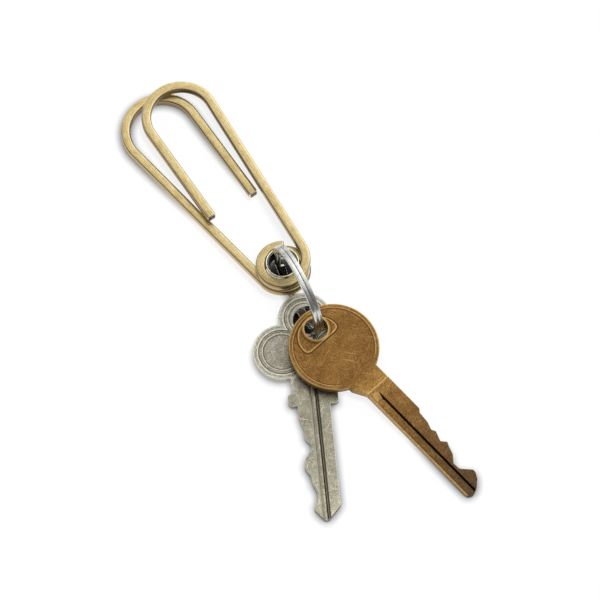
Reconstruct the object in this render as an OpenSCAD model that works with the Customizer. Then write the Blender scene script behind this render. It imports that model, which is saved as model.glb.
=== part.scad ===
// Belt key clip: a pair of square-bar brass hooks riveted at their eyes by a
// tubular eyelet, with a split ring through the eyelet and keys on the ring.
// Millimetres. +Z is up, +Y runs along the clip from the keys to the loops.
// The object lies on the plane z = 0 and is centred on it in x and y.

/* [Hook bar] */
// Side of the square bar that both hooks are bent from
bar_w = 2.45; // [2:0.05:2.9]
// Rounding of the bar's long edges
bar_edge = 0.4; // [0.25:0.05:0.6]
// How much a bend's sides swell beyond those of the straight bar
bend_swell = 0.01; // [0.01:0.01:0.05]
// Gap between the faces of the two hooks
layer_gap = 0.1; // [0.05:0.05:0.3]

/* [Hook eyes] */
// Centreline radius of the eyes
eye_r = 5.3; // [5.1:0.1:5.8]
// Where the eye's cut end stops, as an angle from the hook's own +X
eye_end_deg = 48; // [35:1:70]

/* [Front hook] */
// How far the front eye's centre lies inward of the eyelet's axis
front_eye_x = 0.4; // [0:0.05:0.8]
// How far the front eye's centre lies below the eyelet's axis
front_eye_y = 0.15; // [0:0.05:0.8]
// Radius of the bend from the eye into the front hook's long leg
front_root_r = 7.2; // [5.5:0.1:8]
// Lean of the front hook's long leg away from the clip's axis
front_lean = 7.24; // [4:0.1:10]
// Centreline radius of the front hook's loop
front_loop_r = 8.6; // [7:0.05:10]
// Height of the front loop's centre above the eyelet
front_loop_y = 48.3; // [40:0.1:56]
// Lean of the front hook's short leg
front_short_lean = 3.75; // [0:0.25:6]
// Height of the front hook's free tip above the eyelet
front_tip_y = 21.1; // [14:0.5:28]

/* [Rear hook] */
// How far the rear eye's centre lies inward of the eyelet's axis
rear_eye_x = 0.15; // [0:0.05:0.8]
// How far the rear eye's centre lies below the eyelet's axis
rear_eye_y = 0.65; // [0:0.05:0.8]
// Radius of the bend from the eye into the rear hook's long leg
rear_root_r = 6.15; // [5.5:0.1:8]
// Lean of the rear hook's long leg away from the clip's axis
rear_lean = 5.1; // [4:0.1:10]
// Centreline radius of the rear hook's loop
rear_loop_r = 9.15; // [7:0.05:10]
// Height of the rear loop's centre above the eyelet
rear_loop_y = 49.1; // [40:0.1:56]
// Lean of the rear hook's short leg
rear_short_lean = -2.95; // [-5:0.25:4]
// Height of the rear hook's free tip above the eyelet
rear_tip_y = 21; // [14:0.5:28]

/* [Eyelet] */
// Radius of the reamed hole through both eyes
bore_r = 4; // [3.7:0.05:4.2]
// Radial running clearance of the eyelet in the eyes
bore_fit = 0.05; // [0.02:0.01:0.1]
// Wall of the eyelet's tube
eyelet_wall = 0.4; // [0.3:0.05:0.6]
// Depth of the countersink that each lip seats in
sink = 0.45; // [0.25:0.05:0.6]
// How far each lip stands proud of the hook's face
lip_proud = 0.12; // [0.05:0.01:0.3]
// Height of the eyelet's middle above the surface that the clip lies on
eye_z = 6; // [5.7:0.05:6.6]

/* [Split ring] */
// Outer radius of the split ring
ring_r = 12; // [11:0.25:13]
// Radial width of the ring's wire
wire_w = 1.5; // [1.1:0.05:1.7]
// Thickness of one turn of the wire along the ring's axis
wire_t = 0.98; // [0.7:0.02:1.1]
// Gap between the ring's turns
turn_gap = 0.12; // [0.05:0.01:0.3]
// Chamfer on the wire's edges
wire_edge = 0.18; // [0.1:0.02:0.3]
// Angle over which the wire steps from one turn to the next
jog_deg = 32; // [20:1:50]
// Place of the middle of that step, from the ring's level towards the keys
jog_at_deg = 78; // [40:1:120]
// Turn of the ring away from the clip's axis, seen from above
ring_yaw = 9.5; // [0:0.5:25]
// How far the ring's middle plane lies beside the eyelet's axis
ring_side = 0.6; // [0:0.1:0.5]

/* [Nickel key] */
// Thickness of the nickel key
nickel_t = 1.8; // [1.6:0.05:2]
// Radius of the nickel key's hole
nickel_hole_r = 3.75; // [3.5:0.05:3.8]
// Radius of the lobe round the hole
top_lobe_r = 6.75; // [6:0.05:7.5]
// How far that lobe's centre lies before the hole
top_lobe_x = 0.6; // [0:0.1:1]
// Radius of the side lobes
side_lobe_r = 7.35; // [6:0.05:8]
// How far the key's middle line lies beside its hole
nickel_mid = 0.65; // [0:0.05:0.8]
// Distance of the side lobes' centres along the key from the hole
side_lobe_x = 7.9; // [6:0.1:9]
// Distance of the side lobes' centres from the key's middle line
side_lobe_y = 6.6; // [5:0.1:8]
// Width of the raised border round the bow
nickel_border = 1.9; // [1.2:0.1:2.4]
// Distance from the hole to the shoulder that stops in the lock
nickel_shoulder = 22.6; // [20:0.2:26]
// How far the ears beside the shoulder stand from the middle line
nickel_ear = 6.3; // [5:0.1:7]
// Distance from the hole to the tip
nickel_reach = 53.5; // [48:0.1:60]
// Width of the nickel key's blade
nickel_blade_w = 8.2; // [7:0.1:9]
// How far the nickel key lies nearer the eyelet than where its hole is centred
nickel_pull = 0.25; // [0:0.05:0.4]
// Height of the nickel key's underside at its hole
nickel_z = 1.8; // [1.7:0.05:2.2]
// How far the nickel key's hole lies beside the ring's middle plane
nickel_side = 0; // [-0.8:0.1:0.8]
// Direction of the nickel key from the clip's axis, seen from above
nickel_dir = 31.2; // [20:0.5:60]

/* [Brass key] */
// Thickness of the brass key
brass_t = 2; // [1.6:0.05:2.2]
// Radius of the brass key's hole
brass_hole_r = 3; // [2.8:0.05:3.4]
// Radius of the round bow
bow_r = 11.4; // [10:0.1:13]
// Distance from the hole to the bow's centre
bow_x = 6.5; // [6:0.1:7.5]
// Width of the raised ring round the hole
hole_border = 0.7; // [0.5:0.1:1.4]
// Distance from the hole to the tip
brass_reach = 58.2; // [52:0.1:64]
// Distance from the hole to the end of the neck, where the blade begins
neck_end = 21.4; // [19:0.2:24]
// How much the neck widens on its plain side where it joins the bow
neck_flare = 2; // [0:0.1:3]
// Width of the brass key's blade
brass_blade_w = 7.2; // [6.5:0.1:9]
// How far the blade's middle lies beside the bow's middle line
blade_shift = 1; // [0:0.1:1.5]
// Height of the brass key's underside at its hole
brass_z = 5.3; // [5.2:0.05:6]
// How far the brass key's hole lies beside the ring's middle plane
brass_side = 0; // [-0.8:0.1:0.8]
// Direction of the brass key from the clip's axis, seen from above
brass_dir = -7; // [-30:0.5:0]

/* [Blades and reliefs] */
// Depth of the sunk fields in the bows
relief = 0.15; // [0.05:0.05:0.3]
// Depth of the grooves along the nickel key's blade
groove_d = 0.5; // [0.3:0.05:0.7]
// Width of each groove of the nickel key's blade
groove_w = 0.95; // [0.5:0.05:1.1]
// Depth of the broad groove along the brass key's blade
channel_d = 0.65; // [0.4:0.05:0.8]
// Width of the broad groove along the brass key's blade
channel_w = 2.5; // [2:0.1:3]
// Width of the rim left beside the broad groove
channel_rim = 0.5; // [0.3:0.1:1]

/* [Hidden] */
$fn = 96;

// Overrun of every cut past the face that it leaves through
over = 0.5;
// Step of the rounding of the bar's edges, and the quarters that its corners lie in
edge_step = 30;
// How far one length of bar or wire laps into the next, so that they are one
lap = bend_swell * 20;
sign_x = [1, -1, -1, 1];
sign_y = [1, 1, -1, -1];
// Where the middle of the whole object lies, seen from the eyelet's axis
mid_x = -8.95;
mid_y = -8.49;

brass_bar = [0.80, 0.70, 0.45];
eyelet_brass = [0.83, 0.77, 0.58];
steel = [0.72, 0.73, 0.71];
nickel = [0.62, 0.61, 0.54];
bronze = [0.60, 0.40, 0.19];

half_stack = bar_w + layer_gap / 2;
layer_mid = (bar_w + layer_gap) / 2;
rear_end_y = rear_loop_y + rear_loop_r + bar_w / 2;
// The clip rises towards its eye, and its loop end lies on the surface
clip_tilt = asin((eye_z - half_stack) / rear_end_y);

tube_r = bore_r - bore_fit;
tube_in_r = tube_r - eyelet_wall;
lip_round = eyelet_wall / 2;
lip_top = half_stack + lip_proud;
rim_z = lip_top - lip_round;
// The rim clears the countersink by the running clearance, square to its slope
rim_r = bore_r + sink + lip_proud - lip_round - sqrt(2) * (lip_round + bore_fit);
// Height at which the tube starts to flare, with the same clearance
flare_z = half_stack - sink + bore_fit * tan(22.5);

ring_mid_r = ring_r - wire_w / 2;
ring_in_r = ring_r - wire_w;
turn_off = (wire_t + turn_gap) / 2;
// Level distance from the ring's centre at which radius r has height z
function ring_reach(r, z) = sqrt(r * r - (ring_r - z) * (ring_r - z));
ring_to_eye = ring_reach(ring_mid_r, eye_z);
jog_steps = 12;

// Each hole is centred where the sloping wire crosses its key's thickness
nickel_hole_at = -nickel_pull
    + (ring_reach(ring_in_r, nickel_z) + ring_reach(ring_r, nickel_z + nickel_t)) / 2;
brass_hole_at = (ring_reach(ring_in_r, brass_z) + ring_reach(ring_r, brass_z + brass_t)) / 2;
nickel_slope = asin(nickel_z / nickel_reach);
brass_slope = asin(brass_z / brass_reach);

// The bar's section, a square with rounded corners, swelled by a given amount
module bar_section(swell) {
    flat = bar_w / 2 - bar_edge + swell;
    polygon([for (q = [0:3], a = [0:edge_step:90])
        flat * [sign_x[q], sign_y[q]] + bar_edge * [cos(90 * q + a), sin(90 * q + a)]]);
}

// A straight length of bar from a point, heading as seen from above. It laps
// into the bends before and after it.
module bar_run(from, heading, length, lap_after) {
    translate([from[0], from[1], 0])
        rotate([0, 0, heading])
            translate([-lap, 0, 0])
                rotate([90, 0, 90])
                    linear_extrude(length + lap + lap_after) bar_section(0);
}

// A bend of bar about a centre, from one angle through a sweep
module bar_bend(centre, radius, start, sweep, swell) {
    translate([centre[0], centre[1], 0])
        rotate([0, 0, start])
            rotate_extrude(angle = sweep)
                translate([radius, 0]) bar_section(swell);
}

// One hook in its own layer, long leg on +X: eye, long leg, loop and short leg
module hook_form(eye_c, root_r, lean, loop_r, loop_y, short_lean, tip_y) {
    root_c = [eye_c[0], eye_c[1] - eye_r + root_r];
    root_end = root_c + root_r * [cos(lean), -sin(lean)];
    leg = (loop_y - root_end[1] - loop_r * sin(lean)) / cos(lean);
    leg_end = root_end + leg * [sin(lean), cos(lean)];
    loop_c = leg_end + loop_r * [-cos(lean), sin(lean)];
    loop_sweep = 180 - short_lean + lean;
    short_from = loop_c + loop_r * [-cos(short_lean), sin(short_lean)];
    short_leg = (short_from[1] - tip_y) / cos(short_lean);

    lap_deg = lap / eye_r * 180 / PI;
    bar_bend(eye_c, eye_r, eye_end_deg, 270 - eye_end_deg + lap_deg, 0);
    bar_bend(root_c, root_r, -90, 90 - lean, bend_swell);
    bar_run(root_end, 90 - lean, leg, lap);
    bar_bend(loop_c, loop_r, -lean, loop_sweep, bend_swell);
    bar_run(short_from, 270 - short_lean, short_leg, 0);
}

// The reamed hole through an eye, countersunk on its upper face
module eye_bore() {
    cylinder(r = bore_r, h = bar_w + 2 * over, center = true);
    translate([0, 0, bar_w / 2 - sink])
        cylinder(r1 = bore_r, r2 = bore_r + sink + over, h = sink + over);
}

// Puts what is drawn about the eyelet's middle into the tilted clip's place
module on_clip() {
    translate([-mid_x, -mid_y, eye_z])
        rotate([-clip_tilt, 0, 0]) children();
}

module rear_hook() {
    color(brass_bar)
        on_clip()
            translate([0, 0, -layer_mid])
                difference() {
                    mirror([1, 0, 0])
                        hook_form([-rear_eye_x, -rear_eye_y], rear_root_r, rear_lean, rear_loop_r, rear_loop_y,
                            rear_short_lean, rear_tip_y);
                    mirror([0, 0, 1]) eye_bore();
                }
}

module front_hook() {
    color(brass_bar)
        on_clip()
            translate([0, 0, layer_mid])
                difference() {
                    hook_form([-front_eye_x, -front_eye_y], front_root_r, front_lean, front_loop_r, front_loop_y,
                        front_short_lean, front_tip_y);
                    eye_bore();
                }
}

// Half of the eyelet's section: tube wall, flared lip and rolled rim
module lip_section() {
    polygon([
        [tube_in_r, 0],
        [tube_r, 0],
        [tube_r, flare_z],
        [rim_r + lip_round * cos(45), rim_z - lip_round * sin(45)],
        [rim_r - lip_round * cos(45), rim_z + lip_round * sin(45)],
        [tube_in_r, flare_z + eyelet_wall / 2],
    ]);
    translate([rim_r, rim_z]) circle(r = lip_round);
}

module eyelet() {
    color(eyelet_brass)
        on_clip()
            rotate_extrude() {
                lip_section();
                mirror([0, 1]) lip_section();
            }
}

// Puts what is drawn about the ring's centre, in its own plane, into place
module on_ring() {
    translate([-mid_x, -mid_y, 0])
        rotate([0, 0, -ring_yaw])
            translate([-ring_side, -ring_to_eye, ring_r]) children();
}

// The wire's section, radius across and ring axis up, slimmer by a given amount
function wire_corners(slim) = let(a = wire_w / 2 - slim, b = wire_t / 2 - slim, c = wire_edge) [
    [a - c, -b], [a, -b + c], [a, b - c], [a - c, b],
    [-a + c, b], [-a, b - c], [-a, -b + c], [-a + c, -b]];

// Smooth step from 0 to 1
function ease(t) = t <= 0 ? 0 : t >= 1 ? 1 : t * t * (3 - 2 * t);

// One flat turn of the wire at a height along the ring's axis
module flat_turn(height) {
    translate([height, 0, 0])
        rotate([90, 0, 90])
            rotate([0, 0, jog_at_deg + jog_deg / 2 - 90])
                rotate_extrude(angle = 360 - jog_deg)
                    translate([ring_mid_r, 0]) polygon(wire_corners(0));
}

// The step between the turns, swept through points and lapped into both turns
module jog() {
    section = wire_corners(bend_swell);
    sides = len(section);
    lap_deg = lap / ring_mid_r * 180 / PI;
    span = jog_deg + 2 * lap_deg;
    points = [for (i = [0:jog_steps]) let(
                s = jog_at_deg + span * (i / jog_steps - 1 / 2) - 90,
                along = (span * i / jog_steps - lap_deg) / jog_deg,
                off = turn_off * (1 - 2 * ease(along)))
              for (c = section) [
                off + c[1],
                (ring_mid_r + c[0]) * cos(s),
                (ring_mid_r + c[0]) * sin(s)]];
    faces = concat(
        [[for (k = [sides - 1:-1:0]) k]],
        [for (i = [0:jog_steps - 1], k = [0:sides - 1]) let(
            a = i * sides + k,
            b = i * sides + (k + 1) % sides)
         each [[a, b, a + sides], [b, b + sides, a + sides]]],
        [[for (k = [0:sides - 1]) jog_steps * sides + k]]);
    polyhedron(points = points, faces = faces, convexity = 4);
}

module split_wire() {
    flat_turn(turn_off);
    flat_turn(-turn_off);
    jog();
}

module key_ring() {
    color(steel) on_ring() split_wire();
}

// Puts a key drawn about its hole, blade on +X and underside at zero, on the ring
module on_key(hole_at, side, height, dir, slope) {
    on_ring()
        translate([side, -hole_at, height - ring_r])
            rotate([0, 0, ring_yaw - 90 - dir])
                rotate([0, slope, 0]) children();
}

// The nickel key's cut edge and tip, as shares of the blade's length and half width
nickel_teeth_shares = [
    [0.096, 1], [0.15, 0.90], [0.207, 0.76], [0.287, 0.77], [0.345, 0.39], [0.384, 0.42],
    [0.43, 0.70], [0.459, 0.84], [0.538, 0.95], [0.575, 0.80], [0.608, 0.63], [0.676, 0.585],
    [0.72, 0.44], [0.759, 0.32], [0.825, 0.36], [0.875, 0.59], [0.90, 0.605], [0.963, 0.27],
    [1, -0.01], [0.99, -0.25], [0.877, -1]];

module nickel_plate() {
    blade = nickel_reach - nickel_shoulder;
    half = nickel_blade_w / 2;
    neck = (half + nickel_ear) / 2;
    ear_x = nickel_shoulder - nickel_border * 1.5;
    ear_round = nickel_border / 3;
    translate([-top_lobe_x, 0]) cylinder(r = top_lobe_r, h = nickel_t);
    for (j = [-1, 1])
        translate([side_lobe_x, j * side_lobe_y]) cylinder(r = side_lobe_r, h = nickel_t);
    linear_extrude(nickel_t) polygon(concat(
        [[side_lobe_x, neck], [ear_x - ear_round, neck], [ear_x, nickel_ear],
         [nickel_shoulder - ear_round, nickel_ear], [nickel_shoulder, nickel_ear - ear_round],
         [nickel_shoulder, half]],
        [for (p = nickel_teeth_shares) [nickel_shoulder + p[0] * blade, p[1] * half]],
        [[nickel_shoulder, -half], [nickel_shoulder, -nickel_ear + ear_round],
         [nickel_shoulder - ear_round, -nickel_ear], [ear_x, -nickel_ear],
         [ear_x - ear_round, -neck], [side_lobe_x, -neck]]));
}

// Sunk field in the upper face of the nickel key's bow, round its hole
module nickel_field() {
    depth = relief + over;
    difference() {
        union() {
            translate([-top_lobe_x, 0]) cylinder(r = top_lobe_r - nickel_border, h = depth);
            for (j = [-1, 1])
                translate([side_lobe_x, j * side_lobe_y])
                    cylinder(r = side_lobe_r - nickel_border, h = depth);
        }
        translate([0, nickel_mid, -over])
            cylinder(r = nickel_hole_r + hole_border, h = depth + 2 * over);
    }
}

// A groove of V section along +X, cut into the face at height zero
module v_groove(length, width, depth) {
    rotate([90, 0, 90])
        linear_extrude(length)
            polygon([[-width / 2, 0], [0, -depth], [width / 2, 0],
                [width / 2, over], [-width / 2, over]]);
}

module nickel_key() {
    groove_x = side_lobe_x + side_lobe_r - nickel_border;
    color(nickel)
        on_key(nickel_hole_at, nickel_side, nickel_z, nickel_dir, nickel_slope)
            difference() {
                translate([0, -nickel_mid, 0])
                    mirror([0, 1, 0])
                        difference() {
                            nickel_plate();
                            translate([0, 0, nickel_t - relief]) nickel_field();
                            translate([0, 0, relief]) mirror([0, 0, 1]) nickel_field();
                            for (y = [-groove_w, groove_w / 2])
                                translate([groove_x, y, nickel_t])
                                    v_groove(nickel_reach, groove_w, groove_d);
                            translate([groove_x, -groove_w * 2, 0])
                                mirror([0, 0, 1]) v_groove(nickel_reach, groove_w, groove_d);
                        }
                translate([0, 0, -over]) cylinder(r = nickel_hole_r, h = nickel_t + 2 * over);
            }
}

// The brass key's cut edge and tip, as shares of the blade's length and half width
brass_teeth_shares = [
    [0.365, 1], [0.386, 0.80], [0.462, 0.73], [0.515, 0.53], [0.541, 0.69], [0.608, 0.42],
    [0.640, 0.74], [0.668, 0.59], [0.721, 0.39], [0.768, -0.04], [0.819, 0.01], [0.88, 0.67],
    [0.904, 0.64], [0.94, 0.40], [0.980, -0.10], [0.996, -0.57], [0.985, -0.85], [0.97, -1]];

module brass_plate() {
    root_x = bow_x + bow_r;
    blade = brass_reach - root_x;
    half = brass_blade_w / 2;
    low = blade_shift - half;
    translate([bow_x, 0]) cylinder(r = bow_r, h = brass_t);
    linear_extrude(brass_t) polygon(concat(
        [[bow_x, low - neck_flare], [bow_x, blade_shift + half]],
        [for (p = brass_teeth_shares) [root_x + p[0] * blade, blade_shift + p[1] * half]],
        [[neck_end, low], [root_x, low - neck_flare]]));
}

// The broad groove, with a round start
module channel() {
    half = channel_w / 2;
    length = brass_reach - neck_end;
    cylinder(r = half, h = channel_d + over);
    translate([0, -half, 0]) cube([length, channel_w, channel_d + over]);
}

module brass_key() {
    channel_y = blade_shift - brass_blade_w / 2 + channel_rim + channel_w / 2;
    color(bronze)
        on_key(brass_hole_at, brass_side, brass_z, brass_dir, brass_slope)
            difference() {
                union() {
                    brass_plate();
                    cylinder(r = brass_hole_r + hole_border, h = brass_t + relief);
                }
                translate([0, 0, -over]) cylinder(r = brass_hole_r, h = brass_t + relief + 2 * over);
                translate([neck_end, -bow_r, brass_t - relief])
                    cube([brass_reach, 2 * bow_r, relief + over]);
                translate([neck_end + channel_w / 2, channel_y, brass_t - channel_d])
                    channel();
            }
}

rear_hook();
front_hook();
eyelet();
key_ring();
nickel_key();
brass_key();
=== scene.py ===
"""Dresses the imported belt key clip: its two hooks, eyelet, split ring and keys, on a white studio table.

Sizes are in millimetres and match the CAD model's. Each piece is modelled at that
scale in its own plane, then put into the frame in metres.
"""

import logging
from dataclasses import dataclass
from enum import Enum
from math import asin, atan2, cos, degrees, pi, radians, sin, sqrt, tan, tau
from typing import Any, Optional, Sequence

import bmesh
import bpy
from mathutils import Matrix, Vector

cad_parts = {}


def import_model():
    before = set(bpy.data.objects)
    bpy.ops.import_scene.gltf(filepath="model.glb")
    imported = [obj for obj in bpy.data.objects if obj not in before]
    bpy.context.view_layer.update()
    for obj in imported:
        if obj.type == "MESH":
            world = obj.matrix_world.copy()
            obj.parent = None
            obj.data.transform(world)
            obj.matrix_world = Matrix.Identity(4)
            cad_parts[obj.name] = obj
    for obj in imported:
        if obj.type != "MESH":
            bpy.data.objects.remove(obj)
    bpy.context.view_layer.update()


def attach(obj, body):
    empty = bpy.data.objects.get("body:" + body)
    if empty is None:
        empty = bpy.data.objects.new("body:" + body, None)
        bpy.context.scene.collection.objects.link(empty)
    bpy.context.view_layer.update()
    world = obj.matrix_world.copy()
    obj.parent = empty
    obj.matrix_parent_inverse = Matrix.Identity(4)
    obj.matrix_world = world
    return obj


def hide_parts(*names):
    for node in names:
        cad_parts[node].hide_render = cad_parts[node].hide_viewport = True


log = logging.getLogger("belt_key_clip")

METRES_PER_MM = 0.001
ROUND_STEPS = 128
CAP_CORNERS = 8
SAME_POINT = 1e-5
SAME_PLANE = radians(0.5)

Object = bpy.types.Object
Socket = bpy.types.NodeSocket
BMesh = bmesh.types.BMesh
Edge = bmesh.types.BMEdge
Point = tuple[float, float]
Circle = tuple[float, float, float]
Colour = tuple[float, float, float, float]


class Carve(Enum):
    """How a tool's volume acts on a piece."""

    CUT = "DIFFERENCE"
    FUSE = "UNION"


class Round(Enum):
    """Which parts of a mesh in the making are rounded."""

    POINTS = "VERTICES"
    EDGES = "EDGES"


class Layer(Enum):
    """Which of the two hooks a bar belongs to, with the sign of its height in the stack."""

    REAR = -1
    FRONT = 1


# ---------------------------------------------------------------- sizes


@dataclass(frozen=True)
class ClipSizes:
    """Sizes that the hooks, the eyelet and the ring share."""

    bar: float = 2.45
    bar_edge: float = 0.4
    crown: float = 0.07
    end_edge: float = 0.3
    layer_gap: float = 0.1
    eye_r: float = 5.3
    eye_end: float = radians(48)
    bore_r: float = 4.0
    bore_fit: float = 0.05
    eyelet_wall: float = 0.4
    sink: float = 0.45
    lip_proud: float = 0.12
    eye_z: float = 6.0
    rear_loop_y: float = 49.1
    rear_loop_r: float = 9.15
    axis_x: float = 8.95
    axis_y: float = 8.49

    @property
    def half_stack(self) -> float:
        """Height of the stack's outer face above its middle."""
        return self.bar + self.layer_gap / 2

    @property
    def layer_mid(self) -> float:
        """Height of a hook's middle above the stack's middle."""
        return (self.bar + self.layer_gap) / 2

    @property
    def tilt(self) -> float:
        """Lean of the clip, whose loops lie on the table."""
        rear_end_y = self.rear_loop_y + self.rear_loop_r + self.bar / 2
        return asin((self.eye_z - self.half_stack) / rear_end_y)

    @property
    def place(self) -> Matrix:
        """Matrix from the eyelet's own middle to the frame, in millimetres."""
        shift = Matrix.Translation((self.axis_x, self.axis_y, self.eye_z))
        return shift @ Matrix.Rotation(-self.tilt, 4, "X")


@dataclass(frozen=True)
class RingSizes:
    """Sizes of the split ring and its place."""

    outer_r: float = 12.0
    wire_w: float = 1.5
    wire_t: float = 1.03
    turn_gap: float = 0.07
    wire_edge: float = 0.18
    cut_edge: float = 0.16
    jog: float = radians(32)
    jog_at: float = radians(78)
    yaw: float = radians(9.5)
    side: float = 0.6

    @property
    def mid_r(self) -> float:
        """Radius of the wire's middle."""
        return self.outer_r - self.wire_w / 2

    @property
    def inner_r(self) -> float:
        """Radius of the ring's opening."""
        return self.outer_r - self.wire_w

    def reach(self, radius: float, height: float) -> float:
        """Level distance from the ring's middle at which a radius has a height above the table."""
        return sqrt(radius ** 2 - (self.outer_r - height) ** 2)

    def place(self, clip: ClipSizes) -> Matrix:
        """Works out where the ring is.

        Args:
            clip: The clip that it hangs in.

        Returns:
            The matrix from the ring's middle to the frame, in millimetres.
        """
        to_eye = self.reach(self.mid_r, clip.eye_z)
        return (
            Matrix.Translation((clip.axis_x, clip.axis_y, 0))
            @ Matrix.Rotation(-self.yaw, 4, "Z")
            @ Matrix.Translation((-self.side, -to_eye, self.outer_r))
        )


# ---------------------------------------------------------------- mesh helpers


def new_object(name: str, bm: BMesh) -> Object:
    """Turns a bmesh into an object of the scene.

    Args:
        name: Name of the object.
        bm: The mesh, which is freed.

    Returns:
        The object.
    """
    bmesh.ops.recalc_face_normals(bm, faces=bm.faces)
    mesh = bpy.data.meshes.new(name)
    bm.to_mesh(mesh)
    bm.free()
    piece = bpy.data.objects.new(name, mesh)
    bpy.context.scene.collection.objects.link(piece)
    return piece


def bake(piece: Object) -> None:
    """Applies a piece's modifiers to its mesh.

    Args:
        piece: The object.
    """
    depsgraph = bpy.context.evaluated_depsgraph_get()
    mesh = bpy.data.meshes.new_from_object(piece.evaluated_get(depsgraph), depsgraph=depsgraph)
    piece.modifiers.clear()
    old = piece.data
    piece.data = mesh
    bpy.data.meshes.remove(old)


def carve(piece: Object, tool: Object, how: Carve) -> None:
    """Cuts a tool out of a piece, or fuses it on, and removes the tool.

    Args:
        piece: The object that is changed.
        tool: The object whose volume is used.
        how: Whether to cut or to fuse.
    """
    modifier = piece.modifiers.new("carve", "BOOLEAN")
    modifier.object = tool
    modifier.operation = how.value
    modifier.solver = "EXACT"
    bake(piece)
    bpy.data.objects.remove(tool)


def fused(parts: Sequence[Object]) -> Object:
    """Fuses parts into the first of them.

    Args:
        parts: The objects, which overlap.

    Returns:
        The first object.
    """
    for part in parts[1:]:
        carve(parts[0], part, Carve.FUSE)
    return parts[0]


def weld(piece: Object, within: float = 0.0002, flats: bool = False) -> None:
    """Merges points that lie all but on each other after the cuts.

    Args:
        piece: The object.
        within: Distance in millimetres.
        flats: Whether faces in one plane are joined first.
    """
    bm = bmesh.new()
    bm.from_mesh(piece.data)
    if flats:
        bmesh.ops.dissolve_limit(bm, angle_limit=SAME_PLANE, verts=bm.verts, edges=bm.edges)
    bmesh.ops.remove_doubles(bm, verts=bm.verts, dist=within)
    bmesh.ops.dissolve_degenerate(bm, edges=bm.edges, dist=within)
    bm.to_mesh(piece.data)
    bm.free()


def soften(piece: Object, width: float, angle: float = 28.0) -> None:
    """Rounds a piece's sharp edges.

    Args:
        piece: The object.
        width: Width of the rounding in millimetres.
        angle: Smallest angle in degrees between faces that counts as sharp.
    """
    modifier = piece.modifiers.new("edges", "BEVEL")
    modifier.width = width
    modifier.segments = 2
    modifier.limit_method = "ANGLE"
    modifier.angle_limit = radians(angle)
    modifier.harden_normals = False
    modifier.use_clamp_overlap = True
    bake(piece)


def write_faces(mesh: bpy.types.Mesh, name: str, values: Sequence[float]) -> None:
    """Writes a share for each face under a name that a finish reads."""
    mesh.attributes.new(name, "FLOAT", "FACE").data.foreach_set("value", values)


def write_points(mesh: bpy.types.Mesh, name: str, values: Sequence[float]) -> None:
    """Writes three coordinates for each point, all in one row, under a name that a finish reads."""
    mesh.attributes.new(name, "FLOAT_VECTOR", "POINT").data.foreach_set("vector", values)


def dress(piece: Object, place: Matrix, finish: "Finish", body: str, sharp: float) -> Object:
    """Puts a piece into the frame in metres and gives it its shading, material and body.

    Args:
        piece: The object, modelled in millimetres.
        place: Matrix from the piece's own place to the frame, in millimetres.
        finish: What the piece's surface is.
        body: Name of the body that it rides on and of the node that it stands for.
        sharp: Angle in degrees above which an edge stays crisp.

    Returns:
        The finished piece.
    """
    mesh = piece.data
    flip = place.determinant() < 0
    mesh.transform(Matrix.Scale(METRES_PER_MM, 4) @ place)
    if flip:
        mesh.flip_normals()
    mesh.shade_smooth()
    mesh.set_sharp_from_angle(angle=radians(sharp))
    mesh.materials.clear()
    mesh.materials.append(finish.material())
    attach(piece, body)
    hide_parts(body)
    return piece


def spin(
    bm: BMesh, geom: Sequence[Any], angle: float, steps: int,
    centre: Sequence[float] = (0, 0, 0), climb: float = 0.0, whole: bool = False,
) -> list[Edge]:
    """Spins points and edges about an upright axis.

    Args:
        bm: The mesh that they are part of.
        geom: The points and edges.
        angle: Turn in radians.
        steps: Number of steps in the turn.
        centre: A point on the axis.
        climb: Rise of each step.
        whole: Whether it is a full turn that closes.

    Returns:
        The edges at the end of the turn.
    """
    grown = bmesh.ops.spin(
        bm, geom=list(geom), cent=centre, axis=(0, 0, 1), dvec=(0, 0, climb),
        angle=angle, steps=steps, use_merge=whole,
    )
    return [part for part in grown["geom_last"] if isinstance(part, Edge)]


def lathe(profile: Sequence[Point], closed: bool) -> BMesh:
    """Spins a profile about Z.

    Args:
        profile: Points of the profile as radius and height, in order.
        closed: Whether the last point is joined to the first.

    Returns:
        The mesh.
    """
    bm = bmesh.new()
    verts = [bm.verts.new((r, 0.0, z)) for r, z in profile]
    ends = verts[1:] + (verts[:1] if closed else [])
    edges = [bm.edges.new(pair) for pair in zip(verts, ends)]
    spin(bm, verts + edges, tau, ROUND_STEPS, whole=True)
    bmesh.ops.remove_doubles(bm, verts=bm.verts, dist=SAME_POINT)
    return bm


def round_off(bm: BMesh, geom: Sequence[Any], width: float, segments: int, what: Round) -> None:
    """Rounds points or edges of a mesh that is being made.

    Args:
        bm: The mesh.
        geom: The points or edges.
        width: Width of the rounding.
        segments: Number of steps across it.
        what: Whether they are points or edges.
    """
    bmesh.ops.bevel(
        bm, geom=list(geom), offset=width, offset_type="OFFSET", segments=segments, profile=0.5,
        affect=what.value, material=-1,
    )


def close_ends(bm: BMesh, width: float) -> None:
    """Closes a swept bar or wire at both ends and rounds the ends' edges.

    Args:
        bm: The mesh of the bar or wire.
        width: Width of the rounding.
    """
    bmesh.ops.holes_fill(bm, edges=[e for e in bm.edges if e.is_boundary], sides=0)
    caps = [f for f in bm.faces if len(f.verts) > CAP_CORNERS]
    round_off(bm, [e for f in caps for e in f.edges], width, 2, Round.EDGES)


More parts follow.
